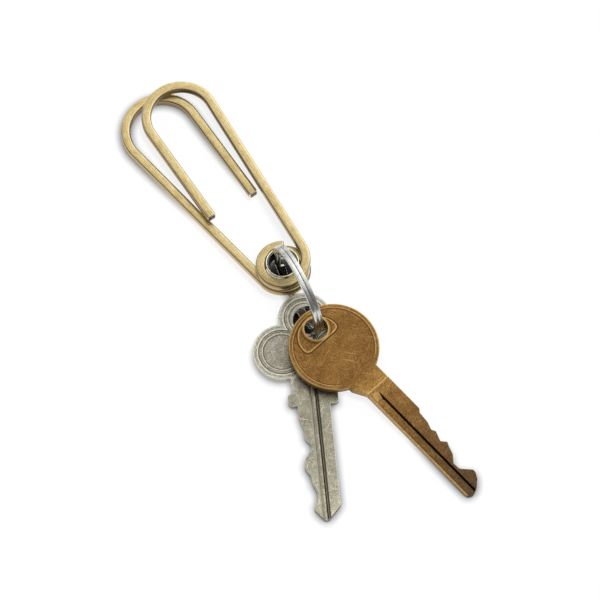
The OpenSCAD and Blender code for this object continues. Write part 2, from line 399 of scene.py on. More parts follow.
def disc(
    radius: float, low: float, high: float, at: Point = (0.0, 0.0), top_r: Optional[float] = None
) -> Object:
    """Makes a round plate or a cone's frustum.

    Args:
        radius: Radius at the lower face.
        low: Height of the lower face.
        high: Height of the upper face.
        at: Place of the middle.
        top_r: Radius at the upper face, where it differs.

    Returns:
        The object.
    """
    bm = bmesh.new()
    bmesh.ops.create_cone(
        bm, cap_ends=True, segments=ROUND_STEPS, radius1=radius, radius2=radius if top_r is None else top_r,
        depth=high - low, matrix=Matrix.Translation((*at, (low + high) / 2)),
    )
    return new_object("disc", bm)


def prism(points: Sequence[Sequence[float]], way: Sequence[float], name: str = "prism") -> Object:
    """Extrudes a flat outline.

    Args:
        points: Points of the outline in order.
        way: How far it is extruded along each axis.
        name: Name of the object.

    Returns:
        The object.
    """
    bm = bmesh.new()
    face = bm.faces.new([bm.verts.new(point) for point in points])
    raised = bmesh.ops.extrude_face_region(bm, geom=[face])["geom"]
    bmesh.ops.translate(bm, verts=[v for v in raised if isinstance(v, bmesh.types.BMVert)], vec=way)
    return new_object(name, bm)


def slab(outline: Sequence[Point], low: float, high: float, name: str = "slab") -> Object:
    """Extrudes an outline between two heights."""
    return prism([(x, y, low) for x, y in outline], (0, 0, high - low), name)


def wedge(start: float, length: float, middle: float, width: float, face_z: float, depth: float) -> Object:
    """Makes the tool for a groove of V section along X.

    Args:
        start: Where the groove starts along X.
        length: Length of the groove.
        middle: Place of the groove's middle across.
        width: Width of the groove at the face.
        face_z: Height of the face that it is cut into.
        depth: Depth of the groove, negative to cut upwards from below.

    Returns:
        The tool.
    """
    half, over = width / 2, depth / 2
    side = [(half * 1.5, over), (half, 0.0), (half / 4, -depth)]
    section = [(-y, z) for y, z in side] + side[::-1]
    return prism([(start, middle + y, face_z + z) for y, z in section], (length, 0, 0))


def bead(lobes: Sequence[Circle], inset: float, width: float, low: float, high: float) -> Object:
    """Makes a low bead that follows the outline of round lobes.

    Args:
        lobes: Middle and radius of each lobe.
        inset: How far the bead's crest lies inside the outline.
        width: Width of the bead's foot.
        low: Height of the foot.
        high: Height of the crest.

    Returns:
        The bead, to fuse on or to cut.
    """
    rise = high - low
    slope = width * 0.35 / rise
    outer, inner = [], []
    for made, side, over in ((outer, 1, 0.0), (inner, -1, rise)):
        for x, y, radius in lobes:
            middle = radius - inset
            foot = middle + side * (width / 2 + slope * over)
            crest = middle + side * (width / 2 - slope * (rise + over))
            made.append(disc(foot, low - over, high + over, (x, y), crest))
    bar = fused(outer)
    carve(bar, fused(inner), Carve.CUT)
    return bar


# ---------------------------------------------------------------- finishes


def tone(red: float, green: float, blue: float) -> Colour:
    """Turns a colour of 0 to 255, as a photograph shows it, into the shader's linear colour.

    Args:
        red: Red of 0 to 255.
        green: Green of 0 to 255.
        blue: Blue of 0 to 255.

    Returns:
        The linear colour with full alpha.
    """

    def linear(value: float) -> float:
        """One channel from display value to linear."""
        share = value / 255
        return share / 12.92 if share <= 0.04045 else ((share + 0.055) / 1.055) ** 2.4

    return linear(red), linear(green), linear(blue), 1.0


class Graph:
    """A node tree, with short calls to add and join nodes."""

    def __init__(self, owner: Any, output: str = "ShaderNodeOutputMaterial") -> None:
        """Starts an empty tree.

        Args:
            owner: The new material or world that the tree belongs to.
            output: Blender's name of its output node.
        """
        owner.use_nodes = True
        self.owner, self.tree = owner, owner.node_tree
        self.tree.nodes.clear()
        self.output = self.tree.nodes.new(output)

    def end(self, surface: Socket) -> Any:
        """Joins a surface to the output and returns the material or world."""
        self.tree.links.new(surface, self.output.inputs["Surface"])
        return self.owner

    def add(self, kind: str, inputs: Optional[dict[str, Any]] = None, **settings: Any) -> bpy.types.Node:
        """Adds a node.

        Args:
            kind: Blender's name of the node type.
            inputs: Socket name to a value, or to an output socket that it is joined to.
            **settings: Attributes of the node.

        Returns:
            The node.
        """
        node = self.tree.nodes.new(kind)
        for key, value in settings.items():
            setattr(node, key, value)
        for key, value in (inputs or {}).items():
            socket = node.inputs[int(key)] if key.isdigit() else node.inputs[key]
            if isinstance(value, Socket):
                self.tree.links.new(value, socket)
            else:
                socket.default_value = value
        return node

    def noise(
        self, vector: Socket, scale: float, detail: float, roughness: float = 0.55, distortion: float = 0.0
    ) -> Socket:
        """Adds noise and returns its value.

        Args:
            vector: Where the noise is read.
            scale: Scale of the noise.
            detail: Number of octaves.
            roughness: How strong the finer octaves are.
            distortion: How much it is warped.

        Returns:
            The value's socket.
        """
        names = ("Vector", "Scale", "Detail", "Roughness", "Distortion")
        inputs = dict(zip(names, (vector, scale, detail, roughness, distortion)))
        return self.add("ShaderNodeTexNoise", inputs).outputs["Fac"]

    def ramp(self, factor: Socket, stops: Sequence[tuple[float, Colour]]) -> Socket:
        """Adds a colour ramp.

        Args:
            factor: What drives the ramp.
            stops: Places and colours.

        Returns:
            The colour's socket.
        """
        node = self.add("ShaderNodeValToRGB", {"Fac": factor})
        elements = node.color_ramp.elements
        elements.remove(elements[-1])
        elements[0].position, elements[0].color = stops[0]
        for place, colour in stops[1:]:
            elements.new(place).color = colour
        return node.outputs["Color"]

    def span(self, value: Socket, low: float, high: float, to_low: float, to_high: float) -> Socket:
        """Maps a value from the range of low to high to that of to_low to to_high."""
        inputs = {"Value": value, "From Min": low, "From Max": high, "To Min": to_low, "To Max": to_high}
        return self.add("ShaderNodeMapRange", inputs).outputs["Result"]

    def mix(self, factor: Any, first: Any, second: Any, how: str = "MIX") -> Socket:
        """Mixes two colours, where the factor is the second one's share."""
        inputs = {"0": factor, "6": first, "7": second}
        return self.add("ShaderNodeMix", inputs, data_type="RGBA", blend_type=how).outputs[2]

    def stain(
        self, colour: Any, tint: Colour, value: Socket, low: float, high: float, share: float
    ) -> Socket:
        """Mixes a tint in, up to a share of it, as a value goes from low to high."""
        return self.mix(self.span(value, low, high, 0.0, share), colour, tint)

    def calc(self, how: str, *values: Any) -> Socket:
        """Does a sum of the Math node on numbers or sockets."""
        inputs = {str(place): value for place, value in enumerate(values)}
        return self.add("ShaderNodeMath", inputs, operation=how).outputs["Value"]

    def times(self, first: Any, second: Any) -> Socket:
        """Multiplies two numbers or sockets."""
        return self.calc("MULTIPLY", first, second)

    def vector_calc(self, how: str, first: Any, second: Any, output: str) -> Socket:
        """Does a sum of the Vector Math node and returns the named output."""
        return self.add("ShaderNodeVectorMath", {"0": first, "1": second}, operation=how).outputs[output]

    def inside(self, plan: Socket, circle: Circle) -> Socket:
        """How far a point of the plan lies inside a circle."""
        x, y, radius = circle
        return self.calc("SUBTRACT", radius, self.vector_calc("DISTANCE", plan, (x, y, 0.0), "Value"))

    def line(self, value: Socket, at: float, half: float) -> Socket:
        """One where a value passes a number, and zero from half a line's width beside it."""
        away = self.calc("ABSOLUTE", self.calc("SUBTRACT", value, at))
        return self.span(away, half * 0.5, half, 1.0, 0.0)

    def parts(self, vector: Socket) -> Any:
        """The X, Y and Z of a vector."""
        return self.add("ShaderNodeSeparateXYZ", {"0": vector}).outputs

    def grey(self, level: Socket) -> Socket:
        """Turns a value into a grey."""
        return self.add("ShaderNodeCombineColor", {"0": level, "1": level, "2": level}).outputs[0]

    def attribute(self, name: str, output: str = "Fac") -> Socket:
        """Reads an attribute of the mesh by its name, as one value or as a vector."""
        return self.add("ShaderNodeAttribute", attribute_name=name).outputs[output]

    def place(self) -> Socket:
        """The object's own coordinates, in metres."""
        return self.add("ShaderNodeTexCoord").outputs["Object"]

    def scaled(self, vector: Socket, scale: tuple[float, float, float]) -> Socket:
        """Stretches coordinates by a factor along each axis."""
        return self.add("ShaderNodeMapping", {"Vector": vector, "Scale": scale}).outputs["Vector"]

    def turned(self, vector: Socket, angle: float, scale: tuple[float, float, float]) -> Socket:
        """Turns coordinates about Z, then stretches them by a factor along each turned axis."""
        inputs = {"Vector": vector, "Rotation": (0.0, 0.0, angle), "Scale": tuple(1 / s for s in scale)}
        return self.add("ShaderNodeMapping", inputs, vector_type="TEXTURE").outputs["Vector"]

    def metal(self, colour: Socket, roughness: Socket, relief: Socket, height: float) -> bpy.types.Material:
        """Ends the tree in a metal surface.

        Args:
            colour: The colour's socket.
            roughness: The roughness's socket.
            relief: The bump's height socket.
            height: Height of the bump in metres.

        Returns:
            The material.
        """
        bump = self.add("ShaderNodeBump", {"Strength": 1.0, "Distance": height, "Height": relief})
        surface = self.add(
            "ShaderNodeBsdfPrincipled",
            {"Base Color": colour, "Roughness": roughness, "Metallic": 1.0, "Normal": bump.outputs["Normal"]},
        )
        return self.end(surface.outputs["BSDF"])


class Finish:
    """What a surface is. A finish makes its material once and shares it."""

    name: str = "finish"
    slot: str = ""

    def material(self) -> bpy.types.Material:
        """Returns the finish's material, made on first use."""
        return bpy.data.materials.get(self.name) or self.build(Graph(bpy.data.materials.new(self.name)))

    def build(self, graph: Graph) -> bpy.types.Material:
        """Makes the material in a new tree and returns it."""
        raise NotImplementedError


@dataclass(frozen=True)
class DrawnBrass(Finish):
    """Satin brass bar: grainy flats with a painted highlight along their edges and near the cut ends, side
    faces tinted brown as painted reflection and shade, painted shade on the bar's inner side, in the eye's
    bore, on the eye's lower inside and on the rear hook's faces towards one side, and darker cut ends.
    """

    name: str = "drawn_brass"
    slot: str = "hook_brass"
    light: Colour = tone(226, 210, 164)
    body: Colour = tone(199, 179, 124)
    dull: Colour = tone(162, 135, 76)
    # Pale colour of the painted highlight along the flats' edges and near the cut ends.
    edge: Colour = tone(246, 236, 200)
    # Brown tint of the side faces, a painted reflection and shade.
    side: Colour = tone(182, 132, 46)
    # Dark brown of the painted shade and of the darker cut ends.
    dirt: Colour = tone(48, 32, 8)
    streak_scale: tuple[float, float, float] = (0.35, 4.0, 4.0)
    grain_scale: tuple[float, float, float] = (2.2, 8.0, 8.0)
    patch_scale: float = 160.0
    # Part of the half width over which the painted edge highlight rises and the roughness drops.
    corner: Point = (0.7, 1.0)
    rough: Point = (0.26, 0.38)
    relief: float = 0.000016

    def build(self, graph: Graph) -> bpy.types.Material:
        """Makes the material.

        Args:
            graph: Its new tree.

        Returns:
            The material.
        """
        grain = graph.attribute("grain", "Vector")
        streaks = graph.noise(graph.scaled(grain, self.streak_scale), 1.0, 6.0, 0.6)
        fine = graph.noise(graph.scaled(grain, self.grain_scale), 1.0, 5.0, 0.7)
        patches = graph.noise(graph.place(), self.patch_scale, 4.0, 0.6, 0.4)
        colour = graph.ramp(streaks, [(0.3, self.dull), (0.5, self.body), (0.7, self.light)])
        colour = graph.stain(colour, self.light, fine, 0.5, 0.62, 0.65)
        colour = graph.stain(colour, self.dull, fine, 0.49, 0.38, 0.65)
        colour = graph.stain(colour, self.dull, patches, 0.5, 0.75, 0.4)
        _, beside, above = graph.parts(grain)
        across, height = graph.calc("ABSOLUTE", beside), graph.calc("ABSOLUTE", above)
        # Painted highlight along both edges of the flats, broken up by the grain.
        highlit = graph.span(fine, 0.3, 0.55, 0.75, 1.0)
        colour = graph.mix(graph.times(graph.span(across, *self.corner, 0.0, 0.9), highlit), colour, self.edge)
        # Side faces tinted brown as painted reflection and shade.
        side_shade = graph.span(graph.calc("SUBTRACT", across, height), -0.12, 0.12, 0.0, 0.75)
        colour = graph.mix(side_shade, colour, graph.stain(self.side, self.dull, streaks, 0.35, 0.65, 0.5))
        # Painted shade: side faces on the bar's inner side, facing into its loop and eye, are darker still.
        painted_shade = graph.times(side_shade, graph.span(beside, -0.3, 0.3, 0.6, 0.0))
        colour = graph.mix(painted_shade, colour, self.dirt)
        # Painted shade on the eye and in its bore, darker cut ends, and a painted highlight near the bar's
        # ends.
        for share, tint in (("shade", self.dirt), ("dirt", self.dirt), ("rim", self.edge)):
            colour = graph.mix(graph.attribute(share), colour, tint)
        rough = graph.span(fine, 0.3, 0.7, *self.rough)
        rough = graph.times(rough, graph.span(across, *self.corner, 1.0, 0.6))
        return graph.metal(colour, rough, fine, self.relief)


@dataclass(frozen=True)
class RolledBrass(Finish):
    """Bright rolled brass of the eyelet, with painted shade inside its tube."""

    name: str = "rolled_brass"
    slot: str = "eyelet_brass"
    light: Colour = tone(250, 245, 224)
    body: Colour = tone(234, 224, 192)
    # Colour of the painted shade inside the tube.
    dirt: Colour = tone(52, 40, 18)
    line_scale: tuple[float, float, float] = (300.0, 300.0, 9000.0)
    spot_scale: float = 1400.0
    rough: Point = (0.14, 0.26)
    relief: float = 0.000006

    def build(self, graph: Graph) -> bpy.types.Material:
        """Makes the material.

        Args:
            graph: Its new tree.

        Returns:
            The material.
        """
        place = graph.place()
        lines = graph.noise(graph.scaled(place, self.line_scale), 1.0, 4.0)
        spots = graph.noise(place, self.spot_scale, 4.0)
        colour = graph.stain(self.body, self.light, spots, 0.4, 0.7, 1.0)
        # Painted shade on the tube's inner faces.
        colour = graph.mix(graph.attribute("dirt"), colour, self.dirt)
        return graph.metal(colour, graph.span(lines, 0.3, 0.7, *self.rough), lines, self.relief)


@dataclass(frozen=True)
class PlatedSteel(Finish):
    """Bright plated spring steel with light scuffs round the ring."""

    name: str = "plated_steel"
    slot: str = "ring_steel"
    light: Colour = tone(232, 233, 228)
    body: Colour = tone(206, 207, 200)
    scuff_scale: float = 700.0
    fine_scale: float = 4200.0
    rough: Point = (0.18, 0.28)
    relief: float = 0.000005

    def build(self, graph: Graph) -> bpy.types.Material:
        """Makes the material.

        Args:
            graph: Its new tree.

        Returns:
            The material.
        """
        place = graph.place()
        scuffs = graph.noise(place, self.scuff_scale, 6.0, 0.7, 0.4)
        fine = graph.noise(place, self.fine_scale, 3.0)
        colour = graph.stain(self.body, self.light, scuffs, 0.38, 0.66, 1.0)
        return graph.metal(colour, graph.span(fine, 0.3, 0.7, *self.rough), scuffs, self.relief)


@dataclass(frozen=True)
class WornPlate(Finish):
    """Key metal: speckled and scratched, its rounded edges and crests pale from rubbing and painted
    highlight, its hollows and side faces dark from soiling and painted shade, and painted shadow lines at the
    beads' feet.
    """

    name: str = "worn_nickel"
    slot: str = "key_nickel"
    light: Colour = tone(196, 193, 179)
    body: Colour = tone(163, 159, 144)
    dull: Colour = tone(126, 121, 105)
    # Dark of soiling and painted shade in the hollows and on the side faces, and of the painted shadow lines.
    low: Colour = tone(78, 70, 52)
    # Pale of the scratches, of rubbed edges and of the painted highlights.
    edge: Colour = tone(230, 227, 212)
    rough: Point = (0.3, 0.5)
    scratches: float = 0.8
    tints: tuple[tuple[float, Colour], ...] = (
        (0.0, (1.0, 1.0, 1.0, 1.0)), (0.28, (1.0, 0.99, 0.97, 1.0)), (0.36, (0.8, 0.79, 0.72, 1.0)),
        (0.6, (0.92, 0.92, 0.87, 1.0)), (1.0, (1.3, 1.28, 1.18, 1.0)),
    )
    lobes: tuple[Circle, ...] = ()
    beads: tuple[float, ...] = ()
    length: float = 60.0
    cloud_scale: float = 260.0
    speck_scale: float = 3600.0
    scratch_scale: tuple[float, float, float] = (260.0, 4200.0, 900.0)
    scratch_ways: tuple[Point, ...] = ((0.5, 1.0), (1.25, 0.7), (2.3, 0.9), (2.9, 0.6))
    # Widths of the painted highlight along the outline and on the beads' crests, and the place and width of
    # the painted shadow line at the beads' feet.
    outline_w: float = 0.55
    crest_w: float = 0.22
    foot_in: float = 0.3
    foot_w: float = 0.2
    relief: float = 0.000008

    def build(self, graph: Graph) -> bpy.types.Material:
        """Makes the material.

        Args:
            graph: Its new tree.

        Returns:
            The material.
        """
        place = graph.place()
        clouds = graph.noise(place, self.cloud_scale, 7.0, 0.75, 0.1)
        specks = graph.noise(place, self.speck_scale, 3.0, 0.7)
        colour = graph.ramp(clouds, [(0.22, self.dull), (0.5, self.body), (0.78, self.light)])
        colour = graph.stain(colour, self.dull, specks, 0.5, 0.6, 0.8)
        colour = graph.stain(colour, self.light, specks, 0.48, 0.38, 0.8)
        relief = specks
        for angle, share in self.scratch_ways:
            scratch = graph.noise(graph.turned(place, angle, self.scratch_scale), 1.0, 2.0, 0.5)
            colour = graph.stain(colour, self.edge, scratch, 0.64, 0.72, share * self.scratches)
            relief = graph.calc("ADD", relief, scratch)
        plan = graph.attribute("plan", "Vector")
        along = graph.calc("DIVIDE", graph.parts(plan)["X"], self.length)
        tint = graph.ramp(along, self.tints)
        colour = graph.mix(1.0, colour, tint, "MULTIPLY")
        # Painted highlights on the outline and crests, broken up by the specks, and painted shadow lines at
        # the beads' feet.
        highlit = graph.span(specks, 0.35, 0.6, 1.0, 0.45)
        for crest, foot in self.lines(graph, plan):
            colour = graph.mix(graph.times(crest, highlit), colour, self.edge)
            colour = graph.mix(graph.times(foot, 0.65), colour, self.low)
        # Painted shade with soiling in the hollows and on the side faces, and painted highlight with rubbing
        # on the rounded edges, from the key's own face marks.
        for share, tint in (("low", self.low), ("edge", self.edge)):
            colour = graph.mix(graph.attribute(share), colour, tint)
        rough = graph.span(clouds, 0.3, 0.7, self.rough[1], self.rough[0])
        return graph.metal(colour, rough, relief, self.relief)

    def bead(self, graph: Graph, inside: Socket, at: float) -> tuple[Any, Any]:
        """The painted highlight on a bead's crest at a distance inside an outline, and the painted shadow
        line at its foot.
        """
        return graph.line(inside, at, self.crest_w), graph.line(inside, at + self.foot_in, self.foot_w)

    def lines(self, graph: Graph, plan: Socket) -> list[tuple[Any, Any]]:
        """Draws painted highlights along the bow's lobes' outline and on the crests of the beads that follow
        it, with painted shadow lines at the beads' feet.

        Args:
            graph: The material's tree.
            plan: The point in the key's own plane, in millimetres.

        Returns:
            Pairs of a painted highlight on a crest and the painted shadow line at its foot.
        """
        inside = graph.inside(plan, self.lobes[0])
        for lobe in self.lobes[1:]:
            inside = graph.calc("MAXIMUM", inside, graph.inside(plan, lobe))
        beads = [self.bead(graph, inside, at) for at in self.beads]
        return [(graph.line(inside, 0.0, self.outline_w), 0.0), *beads]


@dataclass(frozen=True)
class AgedBrass(WornPlate):
    """The brass key's finish: lighter at the neck, browner towards the tip, with plain ridges on its bow that
    get painted highlights and painted shadow lines.
    """

    name: str = "aged_brass"
    slot: str = "key_brass"
    light: Colour = tone(160, 121, 70)
    body: Colour = tone(132, 94, 49)
    dull: Colour = tone(104, 71, 34)
    # Dark of soiling and painted shade; pale of scratches, rubbed edges and painted highlights.
    low: Colour = tone(44, 27, 8)
    edge: Colour = tone(214, 176, 112)
    rough: Point = (0.34, 0.48)
    scratches: float = 0.4
    tints: tuple[tuple[float, Colour], ...] = (
        (0.0, (1.0, 1.0, 1.0, 1.0)), (0.27, (0.95, 0.96, 0.96, 1.0)), (0.34, (1.45, 1.6, 1.6, 1.0)),
        (0.42, (1.0, 1.02, 1.05, 1.0)), (0.66, (0.68, 0.74, 0.9, 1.0)), (0.95, (0.4, 0.48, 0.8, 1.0)),
    )
    outline_w: float = 0.45
    boss: Circle = (0.0, 0.0, 0.0)
    boss_end: float = 0.0
    collar: Circle = (0.0, 0.0, 0.0)
    collar_w: float = 0.6
    neck_end: float = 0.0
    # Places across the blade of the painted highlight on the land below the channel and of the painted shadow
    # line at the channel's lower edge.
    rim: Point = (-2.42, -2.0)

    def lines(self, graph: Graph, plan: Socket) -> list[tuple[Any, Any]]:
        """Draws painted highlights and painted shadow lines along the bow's outline and ridge, the boss and
        collar, the step and the channel's rim.

        Args:
            graph: The material's tree.
            plan: The point in the key's own plane, in millimetres.

        Returns:
            Pairs of a painted highlight on a crest and the painted shadow line at its foot.
        """
        along, across, _ = graph.parts(plan)
        bow, collar = (graph.inside(plan, circle) for circle in (self.lobes[0], self.collar))
        chord = graph.calc("SUBTRACT", self.boss_end, along)
        boss = graph.calc("SMOOTH_MIN", graph.inside(plan, self.boss), chord, 2.2)
        before_neck = graph.span(along, self.neck_end - 6.0, self.neck_end - 7.0, 0.0, 0.7)
        past_neck = graph.span(along, self.neck_end + 0.3, self.neck_end + 1.0, 0.0, 0.7)
        on_bow = (graph.line(bow, 0.0, self.outline_w), *self.bead(graph, bow, self.beads[0]))
        outline, ridge_top, ridge_foot = (graph.times(line, before_neck) for line in on_bow)
        rim_top = graph.times(graph.line(across, self.rim[0], 0.34), past_neck)
        rim_foot = graph.times(graph.line(across, self.rim[1], 0.3), past_neck)
        return [
            (outline, 0.0),
            (ridge_top, ridge_foot),
            (graph.times(graph.line(boss, 0.0, 0.26), 0.8), graph.line(boss, -0.32, 0.22)),
            (graph.line(collar, self.collar_w, 0.2), graph.times(graph.line(collar, -0.15, 0.2), 0.8)),
            (graph.line(along, self.neck_end - 0.15, 0.3), 0.0),
            (rim_top, rim_foot),
        ]


@dataclass(frozen=True)
class TableWhite(Finish):
    """White paper of the table, with painted shade: greyer close under the object by ambient occlusion, and a
    painted dark shadow under the eyelet and one hole.
    """

    # Places of the painted dark shadow discs: under the eyelet and under one key's hole.
    pockets: tuple[Point, ...] = ()
    name: str = "table_white"
    light: Colour = (0.93, 0.93, 0.94, 1.0)
    body: Colour = (0.91, 0.91, 0.92, 1.0)
    fibre_scale: float = 900.0
    contact_reach: float = 0.0021
    pocket_reach: float = 0.014
    pocket_r: float = 0.0054
    pocket_core: float = 0.82
    glow: float = 0.82

    def paper(self, graph: Graph, shade: Socket) -> Socket:
        """Makes the lit paper, white where the camera or a bright piece sees it directly.

        Args:
            graph: The material's tree.
            shade: Painted shade, the share of brightness that the ambient occlusion leaves.

        Returns:
            The surface's socket.
        """
        fibres = graph.noise(graph.place(), self.fibre_scale, 4.0)
        colour = graph.mix(1.0, graph.mix(fibres, self.body, self.light), graph.grey(shade), "MULTIPLY")
        matt = graph.add("ShaderNodeBsdfDiffuse", {"Color": colour}).outputs[0]
        lit = graph.add("ShaderNodeEmission", {"Color": graph.grey(shade), "Strength": 1.0}).outputs[0]
        path = graph.add("ShaderNodeLightPath").outputs
        direct = graph.calc("MAXIMUM", path["Is Camera Ray"], path["Is Glossy Ray"])
        direct = graph.calc("MAXIMUM", direct, path["Is Transmission Ray"])
        share = graph.times(direct, self.glow)
        return graph.add("ShaderNodeMixShader", {"0": share, "1": matt, "2": lit}).outputs[0]

    def build(self, graph: Graph) -> bpy.types.Material:
        """Makes the material.

        Args:
            graph: Its new tree.

        Returns:
            The material.
        """
        near, deep = (
            graph.add("ShaderNodeAmbientOcclusion", {"Distance": reach}, samples=samples).outputs["AO"]
            for reach, samples in ((self.contact_reach, 10), (self.pocket_reach, 32))
        )
        # Painted contact shade from the near ambient occlusion, and painted dark shadow from the deep one
        # inside the discs.
        shade = graph.span(near, 0.2, 0.98, 0.0, 1.0)
        pocket_shade = graph.times(graph.span(deep, 0.4, 0.8, 0.01, 1.0), shade)
        level = 0.0
        for x, y in self.pockets:
            far = graph.vector_calc("DISTANCE", graph.place(), (x, y, 0.0), "Value")
            core = graph.span(far, self.pocket_r * self.pocket_core, self.pocket_r, 1.0, 0.0)
            level = graph.calc("MAXIMUM", level, core)
        inputs = {"0": level, "1": self.paper(graph, shade), "2": self.paper(graph, pocket_shade)}
        return graph.end(graph.add("ShaderNodeMixShader", inputs).outputs[0])


# ---------------------------------------------------------------- hooks


@dataclass
class Bend:
    """An arc of a bar's middle line."""

    centre: Vector
    radius: float
    start: float
    sweep: float
    before: float = 0.0

    @property
    def length(self) -> float:
        """Length of the arc."""
        return self.radius * self.sweep

    def locate(self, point: Vector) -> tuple[float, float, float]:
        """Finds a point beside the arc.

        Args:
            point: The point, seen from above.

        Returns:
            Its distance from the arc, its way along the bar and its place across it.
        """
        arm = point - self.centre
        turned = (atan2(arm.y, arm.x) - self.start) % tau
        if turned > self.sweep:
            turned = self.sweep if turned - self.sweep < tau - turned else 0.0
        angle = self.start + turned
        foot = self.centre + self.radius * Vector((cos(angle), sin(angle)))
        across = arm.dot(Vector((cos(angle), sin(angle)))) - self.radius
        return (point - foot).length, self.before + self.radius * turned, across


@dataclass
class Run:
    """A straight stretch of a bar's middle line."""

    start: Vector
    end: Vector
    before: float = 0.0

    @property
    def length(self) -> float:
        """Length of the stretch."""
        return (self.end - self.start).length

    def locate(self, point: Vector) -> tuple[float, float, float]:
        """Finds a point beside the stretch.

        Args:
            point: The point, seen from above.

        Returns:
            Its distance from the stretch, its way along the bar and its place across it.
        """
        way = (self.end - self.start).normalized()
        arm = point - self.start
        along = min(max(arm.dot(way), 0.0), self.length)
        return (arm - way * along).length, self.before + along, arm.dot(Vector((way.y, -way.x)))


@dataclass
class Hook:
    """One hook: a square bar bent to an eye, a long leg, a loop and a short leg."""

    body: str
    layer: Layer
    eye_c: Point
    root_r: float
    lean: float
    loop_r: float
    loop_y: float
    short_lean: float
    tip_y: float
    # Shares of painted shade on the eye's inside and on its lower side, and the lean of that lower side.
    brown_round: float = 0.14
    brown_below: float = 0.2
    brown_lean: float = 0.45
    # Darkness of the cut ends and of the rear hook's painted shade.
    grime: float = 0.85
    # Strength of the painted highlight on the bar close to its cut ends.
    shine: float = 0.8
    sharp: float = 50.0
    grain_shift: float = 40.0
    run_steps: int = 8
    bend_step: float = 4.0
    clip: ClipSizes = ClipSizes()

    def path(self) -> list[Any]:
        """Works out the bar's middle line, from the eye's cut end to the tip.

        Returns:
            Bends and runs in order.
        """
        clip = self.clip
        eye = Vector(self.eye_c)
        root = eye + Vector((0, self.root_r - clip.eye_r))
        root_end = root + self.root_r * Vector((cos(self.lean), -sin(self.lean)))
        leg = (self.loop_y - root_end.y - self.loop_r * sin(self.lean)) / cos(self.lean)
        leg_end = root_end + leg * Vector((sin(self.lean), cos(self.lean)))
        loop = leg_end + self.loop_r * Vector((-cos(self.lean), sin(self.lean)))
        short = loop + self.loop_r * Vector((-cos(self.short_lean), sin(self.short_lean)))
        drop = (short.y - self.tip_y) / cos(self.short_lean)
        tip = short - drop * Vector((sin(self.short_lean), cos(self.short_lean)))
        parts: list[Any] = [
            Bend(eye, clip.eye_r, clip.eye_end, 1.5 * pi - clip.eye_end),
            Bend(root, self.root_r, -pi / 2, pi / 2 - self.lean),
            Run(root_end, leg_end),
            Bend(loop, self.loop_r, -self.lean, pi - self.short_lean + self.lean),
            Run(short, tip),
        ]
        travel = 0.0
        for part in parts:
            part.before = travel
            travel += part.length
        return parts

    def section(self, bm: BMesh) -> list[Edge]:
        """Draws the bar's rounded square section at the eye's cut end.

        Args:
            bm: The mesh that it is drawn in.

        Returns:
            The section's edges.
        """
        clip = self.clip
        made = bmesh.ops.create_circle(bm, cap_ends=True, radius=clip.bar / sqrt(2), segments=4)
        bmesh.ops.rotate(bm, verts=made["verts"], cent=(0, 0, 0), matrix=Matrix.Rotation(pi / 4, 3, "Z"))
        round_off(bm, made["verts"], clip.bar_edge, 4, Round.POINTS)
        bmesh.ops.delete(bm, geom=list(bm.faces), context="FACES_ONLY")
        flats = [edge for edge in bm.edges if edge.calc_length() > clip.bar / 4]
        bmesh.ops.subdivide_edges(bm, edges=flats, cuts=5)
        half = clip.bar / 2
        for vert in bm.verts:
            x, y = vert.co.x / half, vert.co.y / half
            vert.co.x *= 1 - clip.crown * y * y
            vert.co.y *= 1 - clip.crown * x * x
        stand = Matrix.Rotation(pi / 2, 4, "X")
        turn = Matrix.Rotation(clip.eye_end, 4, "Z")
        shift = Matrix.Translation((*self.eye_c, 0))
        place = shift @ turn @ Matrix.Translation((clip.eye_r, 0, 0)) @ stand
        bmesh.ops.transform(bm, matrix=place, verts=bm.verts)
        return list(bm.edges)

    def bar(self) -> Object:
        """Sweeps the section along the path.

        Returns:
            The bar, closed at both ends, in the hook's own plane.
        """
        bm = bmesh.new()
        edges = self.section(bm)
        for part in self.path():
            if isinstance(part, Bend):
                steps = max(6, round(degrees(part.sweep) / self.bend_step))
                edges = spin(bm, edges, part.sweep, steps, (*part.centre, 0))
                continue
            for _ in range(self.run_steps):
                grown = bmesh.ops.extrude_edge_only(bm, edges=edges)["geom"]
                verts = [v for v in grown if isinstance(v, bmesh.types.BMVert)]
                bmesh.ops.translate(bm, verts=verts, vec=(*((part.end - part.start) / self.run_steps), 0))
                edges = [e for e in grown if isinstance(e, Edge) and all(v in grown for v in e.verts)]
                edges = [e for e in edges if e.is_boundary]
        close_ends(bm, self.clip.end_edge)
        return new_object(self.body + "_bar", bm)

    def bore(self) -> Object:
        """Makes the tool for the reamed and countersunk hole.

        Returns:
            The tool.
        """
        clip = self.clip
        half, over = clip.bar / 2, 1.0
        flare = clip.bore_r + clip.sink + over
        profile = [
            (0.0, -half - over), (clip.bore_r, -half - over), (clip.bore_r, half - clip.sink),
            (flare, half + over), (0.0, half + over),
        ]
        return new_object("bore", lathe([(r, z * self.layer.value) for r, z in profile], False))

    def tarnish(self, point: Vector, height: float) -> float:
        """Says how much painted shade a point on the bar's upper half gets: the eye's inside, most of all on
        its lower side.

        Args:
            point: The point, seen from above.
            height: Height above the bar's middle.

        Returns:
            Share of painted shade.
        """
        inside = self.clip.eye_r + self.clip.bar - point.length
        if inside <= 0 or height <= 0:
            return 0.0
        below = -(point.x * self.layer.value * self.brown_lean + point.y) / point.length
        lower = min(max((below - 0.1) / 0.8, 0.0), 1.0)
        return min(inside / self.clip.bar, 1.0) * self.brown_round + self.brown_below * lower

